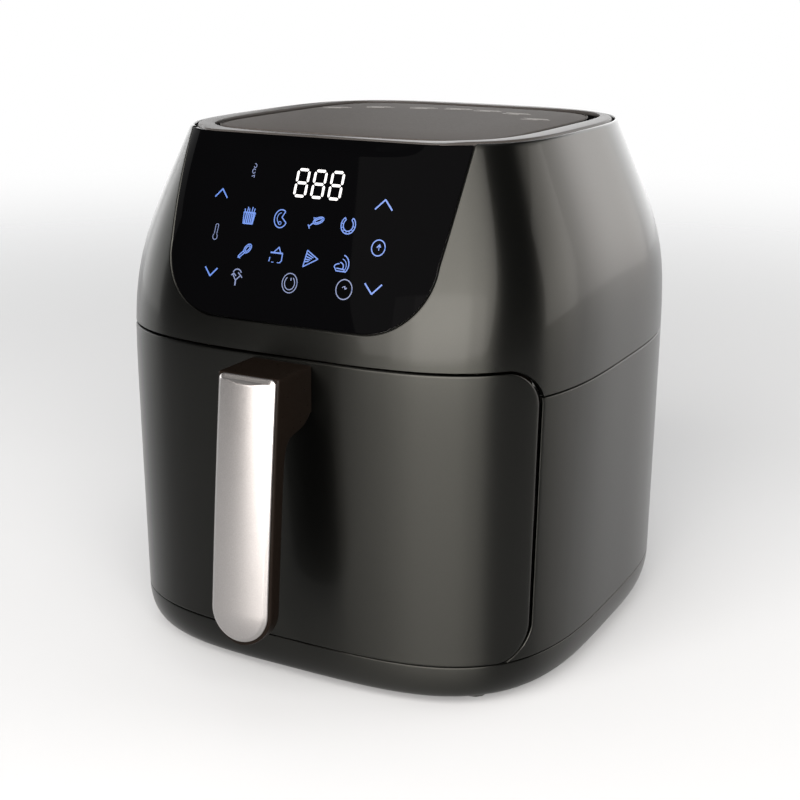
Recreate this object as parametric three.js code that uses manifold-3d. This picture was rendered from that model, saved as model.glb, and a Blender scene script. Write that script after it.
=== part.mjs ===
// A drawer-type digital air fryer as a three.js scene graph. Millimetres, +Z up, front towards -Y.
// The origin lies on the worktop, under the middle of the overall box of body, handle and air outlet.
import * as THREE from "three";
import { mergeVertices } from "three/addons/utils/BufferGeometryUtils.js";
import Module from "manifold-3d";

const wasm = await Module();
wasm.setup();

// ---------------------------------------------------------------- driving dimensions
const FOOT_HEIGHT = 6; // the base floats this far above the worktop
const TOP = 327; // height of the top rim
const WALL = 3; // moulded wall
const GAP = 0.4; // running gap between neighbouring pieces
const BASE_TOP = 29.5; // seam between base and lower housing
const SIDE_SEAM = 188; // seam between lower and upper housing
const HANDLE_REACH = 214.2; // front of the handle, from the body's axis
const OUTLET_REACH = 168; // back of the air outlet, from the body's axis
const BODY_Y = (HANDLE_REACH - OUTLET_REACH) / 2; // body axis in the part's frame

// The body's half width and half depth fall away smoothly above a knee.
const SIDE_PROFILE = { half: 149.9, rise: 0.008, slope: 0.4245, knee: 248, blend: 14 };
const FRONT_PROFILE = { half: 157.1, rise: 0.018, slope: 0.382, knee: 223, blend: 13 };
const FRONT_SQUARENESS = 3.6; // superellipse exponent of the front half
const BACK_SQUARENESS = 3.2; // and of the back half
const AROUND = 32; // facets round the body
const BEVEL = { inset: 10.5, height: 22 }; // rounded lower edge of the base
const FEET = [103, 112]; // X and Y of the feet, from the body's axis

// Drawer front, as seen from the front. Its corners are quarter ellipses.
const DRAWER = { half: 139, bottom: 30, top: 204.9, cornerX: 12.3, cornerZ: 22 };
const PANEL_BACK = -109; // back face of the drawer's inner panel
const PAN = { half: 113, front: -108.6, back: 108, bottom: 42, top: 184, wall: 1.2, corner: 34 };
const CHAMBER = { half: 124, front: -104, back: 116, bottom: 33, top: 204, wall: 1.2, corner: 22 };
const STANDS = [-1, 1].flatMap((x) => [-1, 1].map((y) => [x * 84, y * 74])); // screwed to the base
const PLATE_Z = 52; // underside of the crisper plate
const AXIS_Y = 6; // fan and motor axis, above the middle of the pan
const RING = { outer: 4.4, inner: 16.2 }; // top ring, inset from the body's top edge
const TOP_PLATE_INSET = 22.4;
const GRIP = { half: 20, top: 203, bottom: 48, back: 9.5, cover: 2.5, crown: 3.5 };

// ---------------------------------------------------------------- materials
const finish = (color, roughness, metalness) =>
  new THREE.MeshStandardMaterial({ color, roughness, metalness });
const graphite = finish(0x3a3a37, 0.32, 0.55);
const blackPlastic = finish(0x0b0a09, 0.35, 0);
const darkPlastic = finish(0x1b1b1a, 0.6, 0);
const glass = finish(0x030304, 0.06, 0);
const silver = finish(0xb9b2ad, 0.35, 0.8);
const steel = finish(0xa9abad, 0.35, 1);
const nonStick = finish(0x1d1d1f, 0.45, 0.2);
const rubber = finish(0x101010, 0.9, 0);
const board = finish(0x1f5a35, 0.55, 0);
const copper = finish(0xa8643a, 0.4, 0.9);
const brass = finish(0xb59a55, 0.35, 1);

// ---------------------------------------------------------------- geometry tools
// A closed three.js geometry as a solid that can be joined and cut.
function solid(geometry) {
  const plain = geometry.index ? geometry.toNonIndexed() : geometry.clone();
  const merged = mergeVertices(
    new THREE.BufferGeometry().setAttribute("position", plain.getAttribute("position")),
    1e-4,
  );
  const index = merged.index.array;
  const kept = [];
  for (let i = 0; i < index.length; i += 3) {
    const [a, b, c] = [index[i], index[i + 1], index[i + 2]];
    if (a !== b && b !== c && c !== a) kept.push(a, b, c);
  }
  return new wasm.Manifold(
    new wasm.Mesh({
      numProp: 3,
      vertProperties: merged.attributes.position.array,
      triVerts: new Uint32Array(kept),
    }),
  );
}

function geometryOf(body) {
  const mesh = body.getMesh();
  const geometry = new THREE.BufferGeometry();
  geometry.setAttribute("position", new THREE.BufferAttribute(mesh.vertProperties, 3));
  geometry.setIndex(new THREE.BufferAttribute(mesh.triVerts, 1));
  geometry.computeVertexNormals();
  return geometry;
}

const join = (...bodies) => bodies.reduce((all, next) => all.add(next));
const cut = (body, ...tools) => tools.reduce((left, tool) => left.subtract(tool), body);

// A box between two corners.
function box(low, high) {
  const size = high.map((value, i) => value - low[i]);
  const middle = high.map((value, i) => (value + low[i]) / 2);
  return solid(new THREE.BoxGeometry(...size).translate(...middle));
}

// An upright cylinder or cone on the point (x, y), between two heights.
function upright(radiusLow, radiusHigh, [x, y], low, high, sides = 12) {
  const shape = new THREE.CylinderGeometry(radiusHigh, radiusLow, high - low, sides);
  return solid(shape.rotateX(Math.PI / 2).translate(x, y, (low + high) / 2));
}

// A solid of revolution about a vertical axis through (x, y), from [radius, z] points, anticlockwise.
function turned(points, [x, y] = [0, 0], sides = 24) {
  const profile = points.map(([r, z]) => new THREE.Vector2(r, z));
  if (points[0][0] > 0) profile.push(profile[0]);
  return solid(new THREE.LatheGeometry(profile, sides).rotateX(Math.PI / 2).translate(x, y, 0));
}

// A shape drawn in the X-Z plane, carried along Y from front to back.
function throughY(shape, front, back, curveSegments = 5) {
  const options = { depth: back - front, bevelEnabled: false, curveSegments };
  return solid(new THREE.ExtrudeGeometry(shape, options).rotateX(Math.PI / 2).translate(0, back, 0));
}

// A shape drawn in the Y-Z plane, carried along X between -half and +half.
function throughX(shape, half) {
  const options = { depth: 2 * half, bevelEnabled: false, curveSegments: 8 };
  const turn = new THREE.Matrix4().makeBasis(
    new THREE.Vector3(0, 1, 0),
    new THREE.Vector3(0, 0, 1),
    new THREE.Vector3(1, 0, 0),
  );
  return solid(new THREE.ExtrudeGeometry(shape, options).applyMatrix4(turn).translate(-half, 0, 0));
}

// A shape drawn in the X-Y plane, carried up between two heights.
function throughZ(shape, low, high, curveSegments = 4) {
  const options = { depth: high - low, bevelEnabled: false, curveSegments };
  return solid(new THREE.ExtrudeGeometry(shape, options).translate(0, 0, low));
}

// A rectangle with quarter-ellipse corners.
function roundedRectangle(left, bottom, right, top, rx, ry = rx) {
  const shape = new THREE.Shape();
  const quarter = Math.PI / 2;
  shape.moveTo(left + rx, bottom);
  shape.lineTo(right - rx, bottom);
  shape.absellipse(right - rx, bottom + ry, rx, ry, -quarter, 0, false);
  shape.lineTo(right, top - ry);
  shape.absellipse(right - rx, top - ry, rx, ry, 0, quarter, false);
  shape.lineTo(left + rx, top);
  shape.absellipse(left + rx, top - ry, rx, ry, quarter, 2 * quarter, false);
  shape.lineTo(left, bottom + ry);
  shape.absellipse(left + rx, bottom + ry, rx, ry, 2 * quarter, 3 * quarter, false);
  return shape;
}

// ---------------------------------------------------------------- the body's outer surface
// A straight, slightly rising line that bends over smoothly above its knee.
function fallAway({ half, rise, slope, knee, blend }, z) {
  return half + rise * z - slope * blend * Math.log1p(Math.exp((z - knee) / blend));
}
const halfAxes = (z) => [fallAway(SIDE_PROFILE, z), fallAway(FRONT_PROFILE, z)];
const topAxes = () => halfAxes(TOP);

// A lathe profile of [inset, z] points, reshaped from a circle to the body's superellipse.
// An inset of null lies on the axis.
const REFERENCE_RADIUS = 200;
function bodyLoft(points, axes = halfAxes) {
  const radiusOf = (inset) => (inset === null ? 0 : REFERENCE_RADIUS - inset);
  const profile = points.map(([inset, z]) => new THREE.Vector2(radiusOf(inset), z));
  if (points[0][0] !== null) profile.push(profile[0]);
  const lathe = new THREE.LatheGeometry(profile, AROUND).rotateX(Math.PI / 2);
  const position = lathe.getAttribute("position");
  for (let i = 0; i < position.count; i++) {
    const [x, y, z] = [position.getX(i), position.getY(i), position.getZ(i)];
    const radius = Math.hypot(x, y);
    if (radius < 1) {
      position.setXYZ(i, 0, 0, z);
      continue;
    }
    const inset = REFERENCE_RADIUS - radius;
    const [a, b] = axes(z);
    const power = 2 / (y < 0 ? FRONT_SQUARENESS : BACK_SQUARENESS);
    const along = (value, half) => Math.sign(value) * half * Math.abs(value / radius) ** power;
    position.setXYZ(i, along(x, a - inset), along(y, b - inset), z);
  }
  return solid(lathe);
}

// Heights that follow the curve of the wall closely enough between two seams.
const WALL_STATIONS = [120, 205, 228, 244, 260, 280, 300];
const between = (low, high) => WALL_STATIONS.filter((z) => z > low + 4 && z < high - 4);
// A band of wall between two heights and two insets.
function wallBand(low, high, outer = 0, inner = WALL) {
  const heights = [low, ...between(low, high), high];
  const up = heights.map((z) => [outer, z]);
  const down = heights.toReversed().map((z) => [inner, z]);
  return bodyLoft([...up, ...down]);
}

// Everything inside the wall between two heights, down to an inset below the outer surface.
function core(low, high, inset) {
  const side = [low, ...between(low, high), high].map((z) => [inset, z]);
  return bodyLoft([[null, low], ...side, [null, high]]);
}

// The drawer front's outline, grown outwards by a margin.
const drawerOutline = (margin) =>
  roundedRectangle(
    -DRAWER.half - margin,
    DRAWER.bottom - margin,
    DRAWER.half + margin,
    DRAWER.top + margin,
    DRAWER.cornerX + margin,
    DRAWER.cornerZ + margin,
  );

// The control glass's outline, grown outwards by a margin: open at the rim, with wide round lower corners.
function glassOutline(margin, top = TOP + 4) {
  const [rim, knee, foot, low] = [95.5 + margin, 87.5 + margin, 50, 224 - margin];
  const shape = new THREE.Shape();
  shape.moveTo(-foot, low);
  shape.lineTo(foot, low);
  shape.bezierCurveTo(foot + 20, low, knee - 4.5, low + 8, knee, low + 30 + margin);
  shape.quadraticCurveTo(knee + 5, 282, rim, top);
  shape.lineTo(-rim, top);
  shape.quadraticCurveTo(-knee - 5, 282, -knee, low + 30 + margin);
  shape.bezierCurveTo(-knee + 4.5, low + 8, -foot - 20, low, -foot, low);
  return shape;
}

// ---------------------------------------------------------------- housing
const BEVEL_STEPS = 3;
function baseCover() {
  const bevel = [];
  for (let i = 0; i <= BEVEL_STEPS; i++) {
    const turn = (i / BEVEL_STEPS) * (Math.PI / 2);
    const inset = BEVEL.inset * (1 - Math.sin(turn));
    bevel.push([inset, FOOT_HEIGHT + BEVEL.height * (1 - Math.cos(turn))]);
  }
  const outside = [[null, FOOT_HEIGHT], ...bevel, [0, BASE_TOP]];
  const inside = [
    [WALL, BASE_TOP],
    [WALL, FOOT_HEIGHT + BEVEL.height],
    [BEVEL.inset + WALL, FOOT_HEIGHT + WALL],
    [null, FOOT_HEIGHT + WALL],
  ];
  const pads = STANDS.map((at) => upright(9, 9, at, FOOT_HEIGHT + 1, FOOT_HEIGHT + 6, 10));
  const holes = STANDS.flatMap((at) => [
    upright(2.4, 2.4, at, 0, 20, 8),
    upright(4.6, 4.6, at, 0, FOOT_HEIGHT + 3, 10),
  ]);
  return cut(join(bodyLoft([...outside, ...inside]), ...pads), ...holes);
}

const SWITCH_SIDE = 130.5; // X of the drawer switch
const GLAND = { z: 50, bore: 3.6, neck: 6, flange: 9.5, pocket: 6.4 };
function lowerHousing() {
  const wall = wallBand(BASE_TOP + GAP, SIDE_SEAM - GAP / 2);
  const drawerHole = throughY(drawerOutline(GAP), -260, -20);
  const glandHole = solid(new THREE.CylinderGeometry(GLAND.pocket, GLAND.pocket, 60, 12));
  return cut(wall, drawerHole, glandHole.translate([0, 150, GLAND.z]));
}

const OUTLET = { half: 55, low: 201, high: 251, neckHalf: 50, neckLow: 206, neckHigh: 246 };
function upperHousing() {
  const low = SIDE_SEAM + GAP / 2;
  const outside = [low, ...between(low, TOP), TOP - 3].map((z) => [0, z]);
  const lip = [
    [0.4, TOP - 1.4],
    [1.2, TOP - 0.8],
    [2.6, TOP - 0.8],
    [3.4, TOP - 1.6],
    [3.4, TOP - 9],
  ];
  const inside = [311, ...between(low, 311).toReversed(), low].map((z) => [WALL, z]);
  const wall = bodyLoft([...outside, ...lip, ...inside]);
  const outletHole = box(
    [-OUTLET.neckHalf - GAP, 100, OUTLET.neckLow - GAP],
    [OUTLET.neckHalf + GAP, 200, OUTLET.neckHigh + GAP],
  );
  return cut(
    wall,
    throughY(drawerOutline(GAP), -260, -20),
    throughY(glassOutline(GAP, TOP + 10), -260, -20),
    outletHole,
  );
}

const topRing = () =>
  bodyLoft(
    [
      [RING.outer, TOP - 8],
      [RING.outer, TOP - 0.6],
      [RING.outer + 0.8, TOP],
      [RING.inner - 0.8, TOP],
      [RING.inner, TOP - 0.8],
      [RING.inner, TOP - 8],
    ],
    topAxes,
  );

// Carries the ring and the top plate, and lets cooling air in through its slots.
const TOP_FRAME = { low: 314, high: 317.5, inner: 62 };
function topFrame() {
  const frame = bodyLoft(
    [
      [4.2, TOP_FRAME.low],
      [4.2, TOP_FRAME.high],
      [TOP_FRAME.inner, TOP_FRAME.high],
      [TOP_FRAME.inner, TOP_FRAME.low],
    ],
    topAxes,
  );
  const slots = [];
  for (const side of [-1, 1]) {
    for (const place of [-33, 33]) {
      slots.push(box([place - 28, side * 95 - 4, 300], [place + 28, side * 95 + 4, 330]));
      slots.push(box([side * 91 - 4, place - 28, 300], [side * 91 + 4, place + 28, 330]));
    }
  }
  return cut(frame, ...slots);
}

const PLATE_THICKNESS = 2.5;
function topPlate() {
  const high = TOP - 0.6;
  const low = high - PLATE_THICKNESS;
  const inset = TOP_PLATE_INSET;
  const plate = bodyLoft(
    [
      [null, low],
      [inset, low],
      [inset, high - 0.6],
      [inset + 0.6, high],
      [null, high],
    ],
    topAxes,
  );
  const posts = [-1, 1].flatMap((x) =>
    [-1, 1].map((y) => upright(4, 4, [x * 64, y * 68], TOP_FRAME.high + GAP, low + 0.5, 8)),
  );
  return join(plate, ...posts);
}

// ---------------------------------------------------------------- controls
const CONTROL_TILT = Math.atan(FRONT_PROFILE.slope); // the control face leans back by this angle
const controlGlass = () =>
  wallBand(220, TOP - 3, 0, WALL).intersect(throughY(glassOutline(-GAP / 2), -260, -20));
function controlBracket() {
  const band = wallBand(214, 310, WALL + GAP, WALL + 2.4);
  const outline = throughY(glassOutline(8), -260, -20);
  const window = box([-66, -200, 240], [66, -60, 296]);
  return cut(band.intersect(outline), window);
}
const controlBoard = () => solid(new THREE.BoxGeometry(128, 1.6, 62));
function displayModule() {
  const shape = solid(new THREE.BoxGeometry(40, 8, 20));
  const pins = [-12, -4, 4, 12].map((x) => box([x - 1, 3.5, -8], [x + 1, 6, -6]));
  return join(shape, ...pins);
}

// ---------------------------------------------------------------- cooking chamber and hot air
const DOME = { hole: 96, flange: 106, wall: 98, top: 232, thickness: 1.2, shaftHole: 7 };
const TAIL = { x: 78, spread: 9, hole: 5.5 }; // where the heater's two ends go up
const SENSOR = [-98, -88]; // the temperature probe
function chamber() {
  const { half, front, back, bottom, top, wall, corner } = CHAMBER;
  const outside = throughY(roundedRectangle(-half, bottom, half, top, corner), front, back, 4);
  const inner = roundedRectangle(
    -half + wall,
    bottom + wall,
    half - wall,
    top - wall,
    corner - wall,
  );
  const exhaustHole = box([-40, 100, 150], [40, 140, 176]);
  const stands = STANDS.map((at) => upright(6, 6, at, FOOT_HEIGHT + 6.4, bottom + 1, 8));
  const screwHoles = STANDS.map((at) => upright(2.3, 2.3, at, 0, bottom - 4, 8));
  return cut(
    join(outside, ...stands),
    throughY(inner, front - 10, back - wall, 4),
    upright(DOME.hole, DOME.hole, [0, AXIS_Y], top - 20, top + 20, 24),
    upright(3, 3, SENSOR, top - 20, top + 20, 8),
    exhaustHole,
    ...screwHoles,
  );
}
const guideRail = () => box([-2.6, CHAMBER.front + 6, -3], [2.6, CHAMBER.back - 8, 3]);

function reflector() {
  const { hole, flange, wall, top, thickness, shaftHole } = DOME;
  const low = CHAMBER.top + GAP;
  const dish = turned(
    [
      [hole - 2, low],
      [flange, low],
      [flange, low + thickness],
      [wall, low + thickness],
      [wall - 6, top],
      [shaftHole, top],
      [shaftHole, top - thickness],
      [wall - 7, top - thickness],
      [wall - 1.6, low + 4],
      [hole - 2, low + thickness],
    ],
    [0, AXIS_Y],
    24,
  );
  const tailHoles = [-1, 1].map((side) =>
    upright(TAIL.hole, TAIL.hole, [TAIL.x, AXIS_Y + side * TAIL.spread], 220, 240, 10),
  );
  return cut(dish, ...tailHoles);
}

function heaterGuard() {
  const low = CHAMBER.top - 3;
  const rings = [20, 55, 90].map((r) =>
    turned(
      [
        [r - 1.6, low],
        [r + 1.6, low],
        [r + 1.6, low + 3],
        [r - 1.6, low + 3],
      ],
      [0, 0],
      16,
    ),
  );
  const spokes = [0, 1].map((i) => box([-95, -1.5, low], [95, 1.5, low + 3]).rotate([0, 0, 90 * i]));
  const guard = join(...rings, ...spokes);
  return guard.translate([0, AXIS_Y, 0]);
}

// Two turns of tube that draw in towards the middle, with both ends turned up through the reflector.
const HEATER = { level: 214.5, drop: 5.5, drawIn: 14, lift: 30, tailShare: 0.08, tube: 3.2 };
class HeaterPath extends THREE.Curve {
  getPoint(t, target = new THREE.Vector3()) {
    const { level, drop, drawIn, lift, tailShare } = HEATER;
    const tail = Math.max(0, tailShare - t, t - 1 + tailShare) / tailShare;
    const turn = THREE.MathUtils.clamp((t - tailShare) / (1 - 2 * tailShare), 0, 1);
    const opening = TAIL.spread / TAIL.x;
    const angle = opening + turn * (4 * Math.PI - 2 * opening);
    const radius = TAIL.x - drawIn * Math.sin(Math.PI * turn);
    const z = level + drop * Math.cos(Math.PI * turn) + lift * tail;
    return target.set(radius * Math.cos(angle), AXIS_Y + radius * Math.sin(angle), z);
  }
}
function heaterElement() {
  const tube = new THREE.Shape().absarc(0, 0, HEATER.tube, 0, 2 * Math.PI, false);
  const options = { steps: 48, extrudePath: new HeaterPath(), curveSegments: 3 };
  return solid(new THREE.ExtrudeGeometry(tube, options));
}

// A hub with flat radial blades leaning by a pitch, and an optional back disc.
function impeller({ hub, bore, tip, height, blades, pitch, disc }) {
  const half = height / 2;
  let wheel = turned(
    [
      [bore, -half],
      [hub, -half],
      [hub, half],
      [bore, half],
    ],
    [0, 0],
    16,
  );
  for (let i = 0; i < blades; i++) {
    const blade = box([hub - 2, -0.8, -half], [tip, 0.8, half]);
    wheel = wheel.add(blade.rotate([pitch, 0, 0]).rotate([0, 0, (360 * i) / blades]));
  }
  if (disc) {
    const plate = [
      [hub - 1, half - 1.2],
      [tip, half - 1.2],
      [tip, half],
      [hub - 1, half],
    ];
    wheel = wheel.add(turned(plate, [0, 0], 16));
  }
  return wheel;
}

// ---------------------------------------------------------------- motor
const SHAFT_RADIUS = 4;
const ring = (inner, outer, low, high, sides = 16) =>
  turned(
    [
      [inner, low],
      [outer, low],
      [outer, high],
      [inner, high],
    ],
    [0, 0],
    sides,
  );
const motorShaft = () => upright(SHAFT_RADIUS, SHAFT_RADIUS, [0, 0], 208, 298, 12);
const fanNut = () => ring(SHAFT_RADIUS + 1, 8, 211, 216, 6);
const motorRotor = () => ring(SHAFT_RADIUS + 0.3, 15, 254, 272);
const bearing = () => ring(SHAFT_RADIUS + 0.3, 9, -2.5, 2.5, 12);
function motorStator() {
  const core = ring(16, 33, 252, 274);
  const coils = [0, 1, 2, 3].map((i) => box([20, -9, 249], [31, 9, 277]).rotate([0, 0, 90 * i]));
  return join(core, ...coils);
}
// A cup over the heat shield: three legs, a floor under the stator and a seat for the lower bearing.
function motorBracket() {
  const floor = ring(9.4, 38, 244, 246);
  const seat = ring(9.4, 13, 240.5, 248);
  const legs = [0, 1, 2].map((i) => box([32, -7, 235.6], [38, 7, 245]).rotate([0, 0, 120 * i]));
  return join(floor, seat, ...legs);
}
function motorCap() {
  const lid = ring(9.4, 36, 279, 281);
  const seat = ring(9.4, 13, 276.5, 283.5);
  const legs = [0, 1, 2].map((i) =>
    box([34, -4, 246.4], [37, 4, 280]).rotate([0, 0, 120 * i + 45]),
  );
  return join(lid, seat, ...legs);
}
function heatShield() {
  const outline = roundedRectangle(-112, -98, 112, 110, 30);
  const plate = throughZ(outline, 233.4, 235.2);
  const shaftHole = upright(12, 12, [0, AXIS_Y], 220, 250, 16);
  const tailHoles = [-1, 1].map((side) =>
    upright(7, 7, [TAIL.x, AXIS_Y + side * TAIL.spread], 220, 250, 10),
  );
  return cut(plate, shaftHole, ...tailHoles);
}

// ---------------------------------------------------------------- electrics
function powerBoard() {
  const base = box([-46, -28, 0], [46, 28, 1.6]);
  const relay = box([-38, -20, 1], [-16, -4, 19]);
  const transformer = box([-6, -18, 1], [20, 10, 22]);
  const capacitor = upright(6, 6, [32, -12], 1, 20, 12);
  const terminals = box([-38, 8, 1], [-12, 20, 13]);
  return join(base, relay, transformer, capacitor, terminals);
}
const thermalCutout = () => join(upright(8, 8, [0, 0], 0, 7, 12), box([-12, -3, 0], [12, 3, 2]));
const temperatureSensor = () => join(upright(2.4, 2.4, [0, 0], -14, 0, 8), upright(5, 5, [0, 0], -1, 6, 6));

const PLUNGER = { radius: 2, length: 14 };
function drawerSwitch() {
  const body = box([-5, 0, -10], [5, 22, 10]);
  const bore = solid(new THREE.CylinderGeometry(PLUNGER.radius + 0.4, PLUNGER.radius + 0.4, 18, 10));
  return cut(body, bore);
}
const switchPlunger = () =>
  solid(new THREE.CylinderGeometry(PLUNGER.radius, PLUNGER.radius, PLUNGER.length, 10));

// ---------------------------------------------------------------- air outlet and cord gland
const CHIMNEY = { half: 46, front: CHAMBER.back + GAP, back: 145, low: 146, high: 248 };
function exhaustDuct() {
  const { half, front, back, low, high } = CHIMNEY;
  const shell = box([-half, front, low], [half, back, high]);
  const hollow = box([-half + 1.5, front + 1.5, low + 1.5], [half - 1.5, back - 1.5, high - 1.5]);
  const fromChamber = box([-40, front - 2, 150], [40, front + 4, 176]);
  const toOutlet = box([-42, back - 4, 208], [42, back + 2, 244]);
  return cut(shell, hollow, fromChamber, toOutlet);
}
const OUTLET_SLOTS = [-15, -7.5, 0, 7.5, 15];
function rearOutlet() {
  const { half, low, high, neckHalf, neckLow, neckHigh } = OUTLET;
  const cowl = throughY(roundedRectangle(-half, low, half, high, 8), 120, OUTLET_REACH, 3);
  const neck = box([-neckHalf, 146, neckLow], [neckHalf, 162, neckHigh]);
  const middle = (low + high) / 2;
  const slots = OUTLET_SLOTS.map((z) => box([-44, 100, middle + z - 2.5], [44, 200, middle + z + 2.5]));
  return cut(join(cut(cowl, core(150, 300, -GAP)), neck), ...slots);
}
const cordGland = () =>
  turned(
    [
      [GLAND.bore, -14],
      [GLAND.neck, -14],
      [GLAND.neck, 0.5],
      [GLAND.flange, 0.5],
      [GLAND.flange - 1, 5],
      [GLAND.bore, 5],
    ],
    [0, 0],
    16,
  );

// ---------------------------------------------------------------- drawer
function drawerFront() {
  const wall = wallBand(DRAWER.bottom - 2, DRAWER.top + 2);
  return cut(wall.intersect(throughY(drawerOutline(0), -260, -60)), ...handleScrewHoles());
}

// A tray that closes the hollow behind the drawer front and carries the pan.
function drawerInnerPanel() {
  const tray = core(20, 215, WALL + GAP).intersect(throughY(drawerOutline(-3.5), -260, PANEL_BACK, 5));
  return cut(tray, throughY(drawerOutline(-6.5), -260, PANEL_BACK - 3, 5));
}

function pan() {
  const { half, front, back, bottom, top, wall, corner } = PAN;
  const outline = (grow) =>
    roundedRectangle(-half - grow, front - grow, half + grow, back + grow, corner + grow);
  const tub = throughZ(outline(0), bottom, top + 1.5);
  const flangeGrow = 4.5;
  const flange = throughZ(outline(flangeGrow), top, top + 1.5).intersect(
    box([-200, front, 0], [200, back + flangeGrow, 300]),
  );
  return cut(join(tub, flange), throughZ(outline(-wall), bottom + wall, top + 10));
}

const SLOT = { length: 52, width: 7, pitchX: 66, pitchY: 26 };
function crisperPlate() {
  const { half, front, back, corner } = PAN;
  const play = 5;
  const middle = (front + back) / 2;
  const outline = roundedRectangle(
    -half + play,
    front + play,
    half - play,
    back - play,
    corner - play,
  );
  const slots = [];
  for (const row of [-3, -2, -1, 0, 1, 2, 3]) {
    for (const column of [-1, 0, 1]) {
      const [x, y] = [column * SLOT.pitchX, middle + row * SLOT.pitchY];
      const low = [x - SLOT.length / 2, y - SLOT.width / 2, PLATE_Z - 5];
      const high = [x + SLOT.length / 2, y + SLOT.width / 2, PLATE_Z + 5];
      slots.push(box(low, high));
    }
  }
  return cut(throughZ(outline, PLATE_Z, PLATE_Z + 2), ...slots);
}
// A silicone foot under a corner of the crisper plate.
const crisperBumper = () => upright(6, 7, [0, 0], PAN.bottom + PAN.wall + 0.3, PLATE_Z - 0.3, 6);

// ---------------------------------------------------------------- handle
// The line where the silver cover meets the black grip, in the Y-Z plane.
const gripLine = new THREE.QuadraticBezierCurve(
  new THREE.Vector2(-193.2, GRIP.top),
  new THREE.Vector2(-202.1, 125.5),
  new THREE.Vector2(-208.2, GRIP.bottom),
);
// The grip seen from the front: straight sides and a half-round lower end.
function gripFront(margin = 0) {
  const { half, top, bottom } = GRIP;
  const shape = new THREE.Shape();
  shape.moveTo(half + margin, top + 1);
  shape.lineTo(-half - margin, top + 1);
  shape.lineTo(-half - margin, bottom + half);
  shape.absarc(0, bottom + half, half + margin, Math.PI, 2 * Math.PI, false);
  return throughY(shape, -260, -100, 6);
}

const HANDLE_ROOT = -160.8; // where the handle's root meets the drawer front
const HANDLE_SCREWS = { back: -153.6, length: 17, heights: [180, 192] };
const handleScrewHoles = () =>
  HANDLE_SCREWS.heights.map((z) => {
    const hole = new THREE.CylinderGeometry(2.3, 2.3, 24, 8).translate(0, -162.5, z);
    return solid(hole);
  });
function handleBody() {
  const { top, back } = GRIP;
  const front = gripLine.getPoints(6);
  const shape = new THREE.Shape();
  shape.moveTo(HANDLE_ROOT, top);
  front.forEach(({ x, y }) => shape.lineTo(x, y));
  shape.lineTo(-208.2 + back, GRIP.bottom);
  shape.quadraticCurveTo(-195, 95, -189.3, 150);
  shape.bezierCurveTo(-187.8, 161, -185, 168, -176, 168);
  shape.quadraticCurveTo(-166, 168.5, HANDLE_ROOT, 176);
  const grip = throughX(shape, GRIP.half).intersect(gripFront());
  return cut(grip, core(100, 215, -GAP), ...handleScrewHoles());
}

// The cover's section is a shallow dome: a thin edge all round and a crown along the middle.
function handleCover() {
  const { half, cover, crown, top } = GRIP;
  const back = gripLine.getPoints(6);
  const layer = (depth, width) => {
    const shape = new THREE.Shape();
    back.forEach(({ x, y }, i) => shape[i ? "lineTo" : "moveTo"](x - 0.3, Math.min(y, top - 0.5)));
    back.toReversed().forEach(({ x, y }) => shape.lineTo(x - depth, Math.min(y, top - 0.5)));
    return throughX(shape, width);
  };
  const steps = 3;
  const layers = [];
  for (let i = 0; i <= steps; i++) {
    const share = i / steps;
    layers.push(layer(cover + crown * share, half * Math.sqrt(1 - share * share * 0.94)));
  }
  return join(...layers).intersect(gripFront(-0.2));
}

// A screw with a cross-less pan head, its head towards -Z.
const screw = (length, shank = 2, head = 4) =>
  join(upright(head, head, [0, 0], 0, 2.4, 8), upright(shank, shank, [0, 0], 2, length, 6));

// ---------------------------------------------------------------- the assembly
const airFryer = new THREE.Group();
const body = new THREE.Group();
body.position.y = BODY_Y;
airFryer.add(body);

function place(parent, name, shape, material, position = [0, 0, 0], rotation = [0, 0, 0]) {
  const mesh = new THREE.Mesh(geometryOf(shape), material);
  mesh.name = name;
  mesh.position.set(...position);
  mesh.rotation.set(...rotation);
  parent.add(mesh);
  return mesh;
}

place(body, "base_cover", baseCover(), graphite);
place(body, "lower_housing", lowerHousing(), graphite);
place(body, "upper_housing", upperHousing(), graphite);
place(body, "top_ring", topRing(), graphite);
place(body, "top_frame", topFrame(), darkPlastic);
place(body, "top_plate", topPlate(), darkPlastic);

const corners = [
  [-1, -1],
  [1, -1],
  [1, 1],
  [-1, 1],
];
corners.forEach(([x, y], i) => {
  const foot = upright(8, 9.5, [0, 0], 0, FOOT_HEIGHT - 0.3);
  place(body, `foot_${i + 1}`, foot, rubber, [x * FEET[0], y * FEET[1], 0]);
});
STANDS.forEach((at, i) => {
  place(body, `base_screw_${i + 1}`, screw(18), steel, [...at, FOOT_HEIGHT + 0.3]);
});

place(body, "control_glass", controlGlass(), glass);
place(body, "control_bracket", controlBracket(), darkPlastic);
place(body, "control_board", controlBoard(), board, [0, -118, 267], [-CONTROL_TILT, 0, 0]);
place(body, "display_module", displayModule(), darkPlastic, [10, -117.5, 292], [-CONTROL_TILT, 0, 0]);

place(body, "chamber", chamber(), steel);
for (const [side, name] of [
  [-1, "left"],
  [1, "right"],
]) {
  const x = side * (CHAMBER.half - CHAMBER.wall - 2.9);
  place(body, `guide_rail_${name}`, guideRail(), darkPlastic, [x, 0, PAN.top - 3.4]);
}
place(body, "reflector", reflector(), steel);
place(body, "heater_guard", heaterGuard(), steel);
place(body, "heater_element", heaterElement(), steel);
place(body, "heat_shield", heatShield(), steel);

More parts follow.
